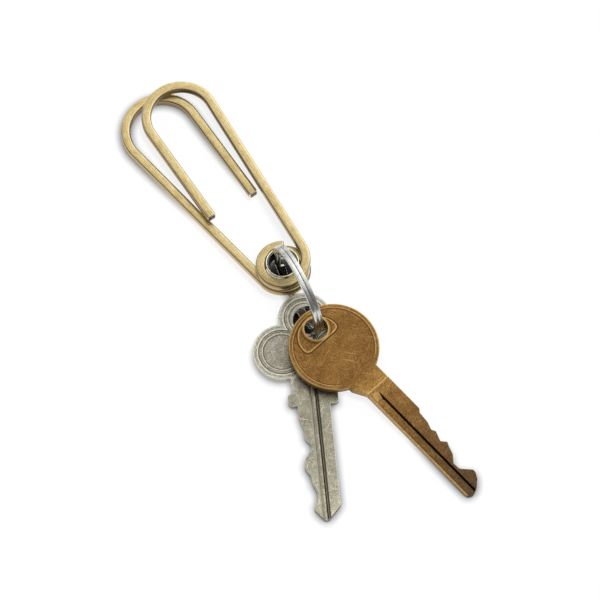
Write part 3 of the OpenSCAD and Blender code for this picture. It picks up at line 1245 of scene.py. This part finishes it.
    def mark_grain(self, piece: Object) -> list[float]:
        """Writes each point's way along, across and up the bar, which the finish follows, and its painted
        shade.

        Args:
            piece: The bar, in the hook's own plane.

        Returns:
            Each point's way along the bar.
        """
        parts, mesh = self.path(), piece.data
        shift = self.grain_shift * self.layer.value
        alongs, grain, eye_shades = [], [], []
        for vertex in mesh.vertices:
            point = vertex.co.xy
            _, along, across = min((part.locate(point) for part in parts), key=lambda found: found[0])
            alongs.append(along)
            grain += [along + shift, across, vertex.co.z]
            eye_shades.append(self.tarnish(point, vertex.co.z))
        write_points(mesh, "grain", grain)
        mesh.attributes.new("shade", "FLOAT", "POINT").data.foreach_set("value", eye_shades)
        return alongs

    def mark_dirt(self, piece: Object, alongs: Sequence[float]) -> None:
        """Marks painted shade in the eye's bore and on the rear hook's faces towards one side, darker cut
        ends, and a painted highlight on the bar close to its ends.

        Args:
            piece: The bar, in the hook's own plane.
            alongs: Each point's way along the bar.
        """
        clip, last = self.clip, self.path()[-1]
        edge = clip.end_edge * 1.2
        far = last.before + last.length - edge
        dirt, end_highlights = [], []
        for face in piece.data.polygons:
            ways = [alongs[v] for v in face.vertices]
            near_end = max(ways) < edge or min(ways) > far
            on_cap = near_end and len(ways) > CAP_CORNERS
            # Painted shade in the eye's bore and countersink, and on the rear hook's faces towards one side.
            in_bore = face.center.xy.length < clip.bore_r + clip.sink and abs(face.normal.z) < 0.95
            painted_shade = self.layer is Layer.REAR and -face.normal.x > 0.5
            dirt.append(1.0 if in_bore else self.grime if on_cap or painted_shade else 0.0)
            # Painted highlight on the faces close to the bar's ends.
            end_highlights.append(self.shine if near_end and len(ways) < CAP_CORNERS else 0.0)
        write_faces(piece.data, "dirt", dirt)
        write_faces(piece.data, "rim", end_highlights)

    def build(self) -> Object:
        """Makes the hook and gives it its place, body and finish.

        Returns:
            The finished piece.
        """
        piece = self.bar()
        carve(piece, self.bore(), Carve.CUT)
        self.mark_dirt(piece, self.mark_grain(piece))
        lift = Matrix.Translation((0, 0, self.clip.layer_mid * self.layer.value))
        if self.layer is Layer.REAR:
            lift = lift @ Matrix.Scale(-1, 4, (1, 0, 0))
        return dress(piece, self.clip.place @ lift, DrawnBrass(), self.body, self.sharp)


# ---------------------------------------------------------------- eyelet


@dataclass
class Eyelet:
    """The tubular rivet through both eyes, flared and rolled at each end.

    The mouth's points are a width beyond the tube's inside and a height in walls above the flare's start.
    """

    clip: ClipSizes = ClipSizes()
    mouth: tuple[Point, ...] = ((0.03, 0.0), (0.12, 0.55))
    sharp: float = 60.0

    def half_profile(self) -> tuple[list[Point], list[Point]]:
        """Works out the upper half of the wall's section.

        Returns:
            The outer points going up, and the inner points going up.
        """
        clip = self.clip
        wall = clip.eyelet_wall
        outer = clip.bore_r - clip.bore_fit
        inner = outer - wall
        flare_z = clip.half_stack - clip.sink + clip.bore_fit * tan(pi / 8)
        roll = wall / 2
        rim_z = clip.half_stack + clip.lip_proud - roll
        rim_r = clip.bore_r + clip.sink + clip.lip_proud - roll - sqrt(2) * (roll + clip.bore_fit)
        turns = [radians(angle) for angle in range(-45, 136, 20)]
        outside = [(outer, 0.0), (outer, flare_z)]
        outside += [(rim_r + roll * cos(turn), rim_z + roll * sin(turn)) for turn in turns]
        inside = [(inner, 0.0), (inner, flare_z - wall)]
        inside += [(inner + width, flare_z + wall * rise) for width, rise in self.mouth]
        return outside, inside

    def build(self) -> Object:
        """Makes the eyelet, whose tube's inner faces are marked for painted shade.

        Returns:
            The finished piece.
        """
        outside, inside = self.half_profile()
        upper = outside + inside[::-1]
        lower = [(r, -z) for r, z in reversed(upper) if z > 0]
        piece = new_object("eyelet_tube", lathe(upper + lower, True))
        tube_in = inside[0][0] + 0.02
        # Painted shade: the tube's inner faces are darkened.
        dirt = [float(face.center.xy.length < tube_in) for face in piece.data.polygons]
        write_faces(piece.data, "dirt", dirt)
        return dress(piece, self.clip.place, RolledBrass(), "eyelet", self.sharp)


# ---------------------------------------------------------------- split ring


@dataclass
class SplitRing:
    """The key ring: flat wire wound in two turns with a step between them."""

    sizes: RingSizes = RingSizes()
    clip: ClipSizes = ClipSizes()
    turn_steps: int = 110
    jog_steps: int = 10
    sharp: float = 60.0

    def section(self, bm: BMesh, height: float) -> list[Edge]:
        """Draws the wire's rounded section.

        Args:
            bm: The mesh that it is drawn in.
            height: Height of its middle along the ring's axis.

        Returns:
            The section's edges.
        """
        ring = self.sizes
        half_w, half_t = ring.wire_w / 2, ring.wire_t / 2
        corners = ((-half_w, -half_t), (half_w, -half_t), (half_w, half_t), (-half_w, half_t))
        face = bm.faces.new([bm.verts.new((ring.mid_r + x, 0.0, height + z)) for x, z in corners])
        round_off(bm, face.verts, ring.wire_edge * 0.8, 3, Round.POINTS)
        bmesh.ops.delete(bm, geom=list(bm.faces), context="FACES_ONLY")
        return list(bm.edges)

    def build(self) -> Object:
        """Makes the ring by spinning the wire's section about the ring's axis.

        Returns:
            The finished piece.
        """
        ring = self.sizes
        climb = ring.wire_t + ring.turn_gap
        bm = bmesh.new()
        edges = self.section(bm, -climb / 2)
        whole = (tau - ring.jog, self.turn_steps, 0.0)
        shares = [step / self.jog_steps for step in range(self.jog_steps + 1)]
        ease = [share ** 2 * (3 - 2 * share) for share in shares]
        jog = [(ring.jog / self.jog_steps, 1, climb * (end - start)) for start, end in zip(ease, ease[1:])]
        for angle, steps, rise in [whole, *jog, whole]:
            edges = spin(bm, edges, angle, steps, climb=rise / steps)
        close_ends(bm, ring.cut_edge)
        piece = new_object("split_ring_wire", bm)
        start = Matrix.Rotation(ring.jog_at + ring.jog / 2 - pi / 2, 4, "Z")
        stand = Matrix(((0, 0, 1, 0), (1, 0, 0, 0), (0, 1, 0, 0), (0, 0, 0, 1)))
        return dress(piece, ring.place(self.clip) @ stand @ start, PlatedSteel(), "key_ring", self.sharp)


# ---------------------------------------------------------------- keys


@dataclass
class Key:
    """What both keys share: a flat plate that turns on the ring and slopes to the table."""

    body: str
    thickness: float
    hole_r: float
    height: float
    reach: float
    heading: float
    rounding: float
    side: float = 0.0
    pull: float = 0.0
    sharp: float = 20.0
    ring: RingSizes = RingSizes()
    clip: ClipSizes = ClipSizes()

    def place(self) -> Matrix:
        """Works out where the key is.

        Returns:
            The matrix from the key's hole, at its underside, to the frame in millimetres.
        """
        ring = self.ring
        inner = ring.reach(ring.inner_r, self.height)
        outer = ring.reach(ring.outer_r, self.height + self.thickness)
        slope = asin(self.height / self.reach)
        return (
            ring.place(self.clip)
            @ Matrix.Translation((self.side, self.pull - (inner + outer) / 2, self.height - ring.outer_r))
            @ Matrix.Rotation(ring.yaw - pi / 2 - self.heading, 4, "Z")
            @ Matrix.Rotation(slope, 4, "Y")
        )

    def lobes(self) -> list[Circle]:
        """Middles and radii of the bow's round lobes."""
        raise NotImplementedError

    def blade(self) -> list[Point]:
        """Outline of the blade, up to the middle of the bow."""
        raise NotImplementedError

    def finish(self) -> Finish:
        """What the key's surface is."""
        raise NotImplementedError

    def wear(self, centre: Vector, normal: Vector) -> Point:
        """Says how much soiling and painted shade, and how much rubbing and painted highlight, a face of the
        plate gets.
        """
        raise NotImplementedError

    def cut(self, piece: Object) -> None:
        """Cuts the fields and grooves into the plate and puts the ridges on it."""
        raise NotImplementedError

    def build(self) -> Object:
        """Makes the key: the rounded plate, then its cuts, its marks of soiling, rubbing, painted shade and
        painted highlight, and its finish.

        Returns:
            The finished piece.
        """
        piece = slab(self.blade(), 0.0, self.thickness, self.body + "_plate")
        for x, y, radius in self.lobes():
            carve(piece, disc(radius, 0.0, self.thickness, (x, y)), Carve.FUSE)
        weld(piece, within=0.05, flats=True)
        soften(piece, self.rounding)
        self.cut(piece)
        weld(piece)
        mesh = piece.data
        marks = [self.wear(face.center, face.normal) for face in mesh.polygons]
        write_points(mesh, "plan", [part for v in mesh.vertices for part in (v.co.x, v.co.y, 0.0)])
        # Shares of soiling and painted shade, then of rubbing and painted highlight.
        write_faces(mesh, "low", [dirt for dirt, _ in marks])
        write_faces(mesh, "edge", [shine for _, shine in marks])
        return dress(piece, self.place(), self.finish(), self.body, self.sharp)

    def hole(self) -> Object:
        """Makes the tool for the hole."""
        return disc(self.hole_r, -1.0, self.thickness + 1)


@dataclass
class NickelKey(Key):
    """Key with a bow of three lobes, shoulder ears and a grooved blade."""

    body: str = "nickel_key"
    thickness: float = 1.8
    hole_r: float = 3.75
    height: float = 1.8
    reach: float = 53.5
    heading: float = radians(31.2)
    rounding: float = 0.15
    pull: float = 0.25
    middle: float = 0.65
    top_lobe_r: float = 6.75
    top_lobe_x: float = 0.6
    side_lobe_r: float = 7.35
    side_lobe_x: float = 7.9
    side_lobe_y: float = 6.6
    border: float = 1.9
    shoulder: float = 22.6
    ear: float = 6.3
    blade_w: float = 8.2
    relief: float = 0.15
    groove_w: float = 0.95
    groove_d: float = 0.5
    hole_border: float = 0.7
    beads: Point = (1.25, 2.45)
    bead_w: float = 0.6
    bead_h: float = 0.1
    cuts: tuple[Point, ...] = (
        (0.096, 1), (0.15, 0.90), (0.207, 0.76), (0.287, 0.77), (0.345, 0.39), (0.384, 0.42), (0.43, 0.70),
        (0.459, 0.84), (0.538, 0.95), (0.575, 0.80), (0.608, 0.63), (0.676, 0.585), (0.72, 0.44),
        (0.759, 0.32), (0.825, 0.36), (0.875, 0.59), (0.90, 0.605), (0.963, 0.27), (1, -0.01),
        (0.99, -0.25), (0.877, -1),
    )

    def lobes(self) -> list[Circle]:
        """Works out the bow's three lobes, with the cut edge on negative Y.

        Returns:
            Middle and radius of the top lobe, then of each side lobe.
        """
        shift, side = -self.middle, self.side_lobe_y
        return [
            (-self.top_lobe_x, shift, self.top_lobe_r),
            (self.side_lobe_x, shift - side, self.side_lobe_r),
            (self.side_lobe_x, shift + side, self.side_lobe_r),
        ]

    def blade(self) -> list[Point]:
        """Works out the outline of the blade, its shoulder ears and the part of the bow between the lobes.

        Returns:
            The outline's points.
        """
        half, length, root = self.blade_w / 2, self.reach - self.shoulder, self.side_lobe_x
        neck, ear_x, corner = (half + self.ear) / 2, self.shoulder - self.border * 1.5, self.border / 3
        ear = [
            (root, neck), (ear_x - corner, neck), (ear_x, self.ear), (self.shoulder - corner, self.ear),
            (self.shoulder, self.ear - corner), (self.shoulder, half),
        ]
        teeth = [(self.shoulder + x * length, y * half) for x, y in self.cuts]
        outline = ear + teeth + [(x, -y) for x, y in ear[::-1]]
        return [(x, -y - self.middle) for x, y in outline]

    def grooves(self) -> list[Point]:
        """Middles and depths of the upper face's grooves: the one with painted shade and the shallower one
        with painted highlights on its walls.
        """
        dark_y, highlit_y = self.groove_w - self.middle, -self.groove_w / 2 - self.middle
        return [(dark_y, self.groove_d), (highlit_y, self.groove_d * 0.7)]

    def finish(self) -> Finish:
        """Worn nickel, with painted highlights and painted shadow lines along the bow's lobes."""
        return WornPlate(lobes=tuple(self.lobes()), beads=self.beads)

    def wear(self, centre: Vector, normal: Vector) -> Point:
        """Says how much soiling and painted shade, and how much rubbing and painted highlight, a face of the
        plate gets.

        Args:
            centre: The face's middle in the key's own place.
            normal: The face's direction.

        Returns:
            Share of soiling and painted shade, and share of rubbing and painted highlight.
        """
        flat, wall = abs(normal.z) > 0.97, normal.y > 0.3
        sunk = min(self.thickness - centre.z, centre.z)
        dark, highlit = self.grooves()
        blade_x = self.side_lobe_x + self.side_lobe_r - self.border
        if centre.x > blade_x and 0.02 < sunk and centre.z > self.thickness / 2:
            in_dark, in_highlit = (
                abs(centre.y - y) < self.groove_w * 0.6 and sunk <= depth + 0.02 for y, depth in (dark, highlit)
            )
            # The deeper groove: painted shade on its floor and one wall, painted highlight on its other
            # faces.
            if in_dark:
                return (0.68, 0.0) if flat else (0.9, 0.0) if wall else (0.0, 0.5)
            # The shallower groove: painted highlight on its walls, painted shade on its floor.
            if in_highlit:
                return (0.0, 0.85) if wall else (0.55, 0.0) if flat else (0.0, 0.4)
        # Painted highlight on the land between the grooves.
        if flat and centre.x > self.shoulder and highlit[0] < centre.y < dark[0]:
            return 0.0, 0.95
        # Sunk fields darker.
        if flat:
            return (0.2, 0.0) if sunk > self.relief / 2 else (0.0, 0.0)
        # Side faces darker, as painted shade; rounded edges paler, from rubbing and painted highlight.
        return (0.35, 0.0) if abs(normal.z) < 0.2 else (0.0, 0.8)

    def field(self, top: bool) -> Object:
        """Makes the tool for a sunk field in the bow.

        Args:
            top: True for the upper face, False for the underside.

        Returns:
            The tool.
        """
        depth, over = self.relief, 0.6
        low, high = (self.thickness - depth, self.thickness + over) if top else (-over, depth)
        parts = []
        for x, y, radius in self.lobes():
            wide, narrow = radius - self.border + over, radius - self.border - depth * 0.6
            first, last = (narrow, wide) if top else (wide, narrow)
            parts.append(disc(first, low, high, (x, y), last))
        tool = fused(parts)
        carve(tool, disc(self.hole_r + self.hole_border, low - 1, high + 1), Carve.CUT)
        return tool

    def cut(self, piece: Object) -> None:
        """Sinks the bow's fields, cuts the grooves and the hole, and puts beads in the side lobes.

        Args:
            piece: The rounded plate.
        """
        face, start = self.thickness, self.side_lobe_x + self.side_lobe_r - self.border
        under_y = 2 * self.groove_w - self.middle
        tools = [self.field(True), self.field(False)]
        tools += [wedge(start, self.reach, y, self.groove_w, face, depth) for y, depth in self.grooves()]
        tools += [wedge(start, self.reach, under_y, self.groove_w, 0.0, -self.groove_d), self.hole()]
        outer, inner = self.beads
        half = self.bead_w / 2
        tools.append(bead(self.lobes(), outer + half, half, face - self.bead_h, face + 1))
        for tool in tools:
            carve(piece, tool, Carve.CUT)
        low, high = (face - self.relief + rise for rise in (-self.bead_h, self.bead_h))
        for lobe in self.lobes()[1:]:
            carve(piece, bead([lobe], inner, self.bead_w, low, high), Carve.FUSE)


@dataclass
class BrassKey(Key):
    """Key with a round bow, a raised rim round its hole and one broad groove."""

    body: str = "brass_key"
    thickness: float = 2.0
    hole_r: float = 3.0
    height: float = 5.3
    reach: float = 58.2
    heading: float = radians(-7)
    rounding: float = 0.2
    bow_r: float = 11.4
    bow_x: float = 6.5
    neck_end: float = 21.4
    neck_flare: float = 2.0
    blade_w: float = 7.2
    blade_shift: float = 1.0
    relief: float = 0.15
    channel_w: float = 2.5
    channel_rim: float = 0.5
    channel_d: float = 0.65
    run_out: float = 4.0
    hole_border: float = 0.7
    ridge_in: float = 1.0
    ridge_end: float = 14.9
    bead_w: float = 0.55
    bead_h: float = 0.09
    boss: Circle = (2.2, -0.95, 5.3)
    boss_end: float = 3.5
    boss_corner: float = 1.25
    boss_steps: int = 20
    cuts: tuple[Point, ...] = (
        (0.365, 1), (0.386, 0.80), (0.462, 0.73), (0.515, 0.53), (0.541, 0.69), (0.608, 0.42),
        (0.640, 0.74), (0.668, 0.59), (0.721, 0.39), (0.768, -0.04), (0.819, 0.01), (0.88, 0.67),
        (0.904, 0.64), (0.94, 0.40), (0.980, -0.10), (0.996, -0.57), (0.985, -0.85), (0.97, -1),
    )

    def lobes(self) -> list[Circle]:
        """Middle and radius of the round bow."""
        return [(self.bow_x, 0.0, self.bow_r)]

    def blade(self) -> list[Point]:
        """Works out the outline of the blade and the neck.

        Returns:
            The outline's points.
        """
        root, half = self.bow_x + self.bow_r, self.blade_w / 2
        length, low = self.reach - root, self.blade_shift - half
        teeth = [(root + x * length, self.blade_shift + y * half) for x, y in self.cuts]
        return (
            [(self.bow_x, low - self.neck_flare), (self.bow_x, self.blade_shift + half)] + teeth
            + [(self.neck_end, low), (root, low - self.neck_flare)]
        )

    def finish(self) -> Finish:
        """Makes the aged brass, with painted highlights and painted shadow lines along the bow's outline,
        ridge, boss and collar.

        Returns:
            The finish.
        """
        return AgedBrass(
            lobes=tuple(self.lobes()), beads=(self.ridge_in,), boss=self.boss, boss_end=self.boss_end,
            collar=(0.0, 0.0, self.hole_r + self.hole_border), neck_end=self.neck_end,
        )

    def wear(self, centre: Vector, normal: Vector) -> Point:
        """Says how much soiling and painted shade, and how much rubbing and painted highlight, a face of the
        plate gets.

        Args:
            centre: The face's middle in the key's own place.
            normal: The face's direction.

        Returns:
            Share of soiling and painted shade, and share of rubbing and painted highlight.
        """
        sunk = self.thickness - centre.z
        middle = self.blade_shift - self.blade_w / 2 + self.channel_rim + self.channel_w / 2
        in_channel = centre.x > self.neck_end and abs(centre.y - middle) < self.channel_w * 0.55
        if abs(normal.z) > 0.99:
            return 0.0, 0.25 if sunk < -self.relief / 2 else 0.0
        # The channel: painted shade on its walls and floor, painted highlight on its sloped start.
        if in_channel and sunk > self.relief and centre.z > self.thickness / 4:
            if normal.y < -0.3:
                return 0.82, 0.0
            return (0.0, 0.45) if normal.x > 0.1 and normal.z > 0.5 else (0.8, 0.0)
        # Side faces darker, as painted shade; rounded edges paler, from rubbing and painted highlight.
        return (0.25, 0.0) if abs(normal.z) < 0.2 else (0.0, 0.75)

    def boss_outline(self, grow: float) -> list[Point]:
        """Works out the outline of the D-shaped boss round the hole: an arc, a chord and two round corners.

        Args:
            grow: How far outside the boss's own line the outline runs.

        Returns:
            The outline's points.
        """
        x, y, radius = self.boss
        corner = self.boss_corner
        corner_x = self.boss_end - corner
        rise = sqrt((radius - corner) ** 2 - (corner_x - x) ** 2)
        turn = atan2(rise, corner_x - x)
        points = []
        for middle, r, start, end in (
            ((x, y), radius, turn, tau - turn), ((corner_x, y - rise), corner, -turn, 0.0),
            ((corner_x, y + rise), corner, 0.0, turn),
        ):
            for step in range(self.boss_steps + 1):
                angle = start + (end - start) * step / self.boss_steps
                points.append((middle[0] + (r + grow) * cos(angle), middle[1] + (r + grow) * sin(angle)))
        return points

    def beyond(self, start: float, low: float, high: float) -> Object:
        """Makes a block that holds all of the key past a place along it."""
        far, half = self.reach + 5, self.bow_r
        return slab([(start, -half), (far, -half), (far, half), (start, half)], low, high)

    def ridges(self) -> list[Object]:
        """Makes the ridge inside the bow's outline, and the one round the boss.

        Returns:
            The ridges, to fuse on.
        """
        low, high = self.thickness - self.bead_h, self.thickness + self.bead_h
        ridge = bead(self.lobes(), self.ridge_in, self.bead_w, low, high)
        carve(ridge, self.beyond(self.ridge_end, low - 1, high + 1), Carve.CUT)
        side = self.bead_w / 4
        boss = slab(self.boss_outline(side), low, high)
        carve(boss, slab(self.boss_outline(-side), low - 1, high + 1), Carve.CUT)
        return [ridge, boss]

    def channel(self) -> Object:
        """Makes the tool for the broad groove, with its round start and its sloped walls.

        Returns:
            The tool.
        """
        half = self.channel_w / 2
        middle = self.blade_shift - self.blade_w / 2 + self.channel_rim + half
        start, far = self.neck_end + half, self.neck_end + self.reach
        turns = [radians(angle) for angle in range(90, 271, 10)]
        arc = [(start + half * cos(turn), middle + half * sin(turn)) for turn in turns]
        outline = [(far, middle + half), *arc, (far, middle - half)]
        tool = slab(outline, self.thickness - self.channel_d, self.thickness + 1)
        for vertex in tool.data.vertices:
            rise = vertex.co.z - self.thickness
            if vertex.co.y > middle + half * 0.5:
                vertex.co.y += rise
            if vertex.co.x < start + half:
                vertex.co.x -= rise * self.run_out
        return tool

    def cut(self, piece: Object) -> None:
        """Cuts the step and the channel, makes the hole in its raised rim, and puts the ridges on.

        Args:
            piece: The rounded plate.
        """
        face = self.thickness
        carve(piece, self.beyond(self.neck_end, face - self.relief, face + 1), Carve.CUT)
        carve(piece, self.channel(), Carve.CUT)
        foot_r, top_r = self.hole_r + self.hole_border, self.hole_r + self.hole_border * 0.8
        carve(piece, disc(foot_r, face / 2, face + self.relief, top_r=top_r), Carve.FUSE)
        carve(piece, self.hole(), Carve.CUT)
        for ridge in self.ridges():
            carve(piece, ridge, Carve.FUSE)


# ---------------------------------------------------------------- studio


@dataclass
class Studio:
    """White table, soft light from the upper right and a long lens looking down at 67 degrees."""

    # Places of the table's painted dark shadow discs.
    pockets: tuple[Point, ...]
    look_at: tuple[float, float, float] = (0.008492, 0.000674, 0.0)
    across: Point = (0.801, -0.598)
    elevation: float = radians(67)
    distance: float = 6.0
    field_width: float = 0.15
    sensor: float = 36.0
    view_end: float = 20.0
    table_size: float = 1.6
    lamp_parts: tuple[float, float, float] = (0.16, -0.12, 0.98)
    lamp_distance: float = 1.5
    lamp_size: float = 0.34
    lamp_power: float = 16.5
    sheen_parts: tuple[float, float, float] = (0.3, 0.6, 0.74)
    sheen: tuple[Point, ...] = (
        (0.0, 0.03), (0.5, 0.18), (0.7, 0.3), (0.8, 0.75), (0.88, 1.0), (0.94, 1.2), (0.97, 1.4), (1.0, 1.9),
    )
    even_tint: Colour = (0.98, 0.99, 1.0, 1.0)
    even_light: float = 0.45

    def away(self) -> Vector:
        """The level direction in which the camera looks."""
        return Vector((-self.across[1], self.across[0], 0)).normalized()

    def way(self, parts: tuple[float, float, float]) -> Vector:
        """Turns shares of the picture's right, of away and of up into a direction."""
        right = Vector((*self.across, 0)).normalized()
        return (right * parts[0] + self.away() * parts[1] + Vector((0, 0, parts[2]))).normalized()

    def aim(self, name: str, data: Any, spot: Vector) -> Object:
        """Puts a camera or a lamp at a spot beside the object and turns it to look back.

        Args:
            name: Its name.
            data: Its settings.
            spot: Where it is, from the middle of the picture.

        Returns:
            The camera or lamp.
        """
        made = bpy.data.objects.new(name, data)
        made.location = Vector(self.look_at) + spot
        made.rotation_euler = (-spot).to_track_quat("-Z", "Y").to_euler()
        bpy.context.scene.collection.objects.link(made)
        return made

    def camera(self) -> None:
        """Makes the camera at the photograph's angle."""
        data = bpy.data.cameras.new("long_lens")
        data.sensor_fit = "HORIZONTAL"
        data.sensor_width = self.sensor
        data.lens = self.sensor * self.distance / self.field_width
        data.clip_end = self.view_end
        look = self.away() * cos(self.elevation) - Vector((0, 0, sin(self.elevation)))
        bpy.context.scene.camera = self.aim("long_lens", data, -look * self.distance)

    def table(self) -> None:
        """Makes the table, which isn't part of the object."""
        bm = bmesh.new()
        bmesh.ops.create_grid(bm, x_segments=4, y_segments=4, size=self.table_size)
        table = new_object("table", bm)
        table.data.materials.append(TableWhite(pockets=self.pockets).material())

    def lamp(self) -> None:
        """Adds the soft square lamp, which no metal mirrors."""
        data = bpy.data.lights.new("window", "AREA")
        data.shape = "SQUARE"
        data.size = self.lamp_size
        data.energy = self.lamp_power
        self.aim("window", data, self.way(self.lamp_parts) * self.lamp_distance).visible_glossy = False

    def world(self) -> None:
        """Makes the room: even light all round, and for metal a bright side above a dark one."""
        graph = Graph(bpy.data.worlds.new("room"), "ShaderNodeOutputWorld")
        ray = graph.add("ShaderNodeTexCoord").outputs["Generated"]
        towards = graph.vector_calc("DOT_PRODUCT", ray, self.way(self.sheen_parts), "Value")
        stops = [(place, (level, level, level, 1.0)) for place, level in self.sheen]
        sheen = graph.ramp(graph.span(towards, -1.0, 1.0, 0.0, 1.0), stops)
        room = graph.add("ShaderNodeBackground", {"Color": sheen})
        even = graph.add("ShaderNodeBackground", {"Color": self.even_tint, "Strength": self.even_light})
        mirrored = graph.add("ShaderNodeLightPath").outputs["Is Glossy Ray"]
        choose = graph.add("ShaderNodeMixShader", {"0": mirrored, "1": even.outputs[0], "2": room.outputs[0]})
        bpy.context.scene.world = graph.end(choose.outputs[0])

    def build(self) -> None:
        """Sets the whole studio up."""
        self.camera()
        self.table()
        self.lamp()
        self.world()
        bpy.context.scene.view_settings.view_transform = "Standard"


# ---------------------------------------------------------------- all


def hooks(clip: ClipSizes) -> list[Hook]:
    """Makes the two hooks with their own bends.

    Args:
        clip: The sizes that they share.

    Returns:
        The rear hook and the front hook.
    """
    rear = Hook(
        "rear_hook", Layer.REAR, eye_c=(-0.15, -0.65), root_r=6.15, lean=radians(5.1),
        loop_r=clip.rear_loop_r, loop_y=clip.rear_loop_y, short_lean=radians(-2.95), tip_y=21.0,
    )
    front = Hook(
        "front_hook", Layer.FRONT, eye_c=(-0.4, -0.15), root_r=7.2, lean=radians(7.24), loop_r=8.6,
        loop_y=48.3, short_lean=radians(3.75), tip_y=21.1,
    )
    return [rear, front]


def main() -> None:
    """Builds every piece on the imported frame."""
    logging.basicConfig(level=logging.INFO, format="%(name)s: %(message)s")
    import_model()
    clip, nickel_key = ClipSizes(), NickelKey()
    hole = nickel_key.place().translation * METRES_PER_MM
    Studio(pockets=((clip.axis_x * METRES_PER_MM, clip.axis_y * METRES_PER_MM), (hole.x, hole.y))).build()
    makers: list[Any] = [*hooks(clip), Eyelet(), SplitRing(), nickel_key, BrassKey()]
    for maker in makers:
        piece = maker.build()
        log.info("%s: %d faces", piece.name, len(piece.data.polygons))


if __name__ == "__main__":
    main()
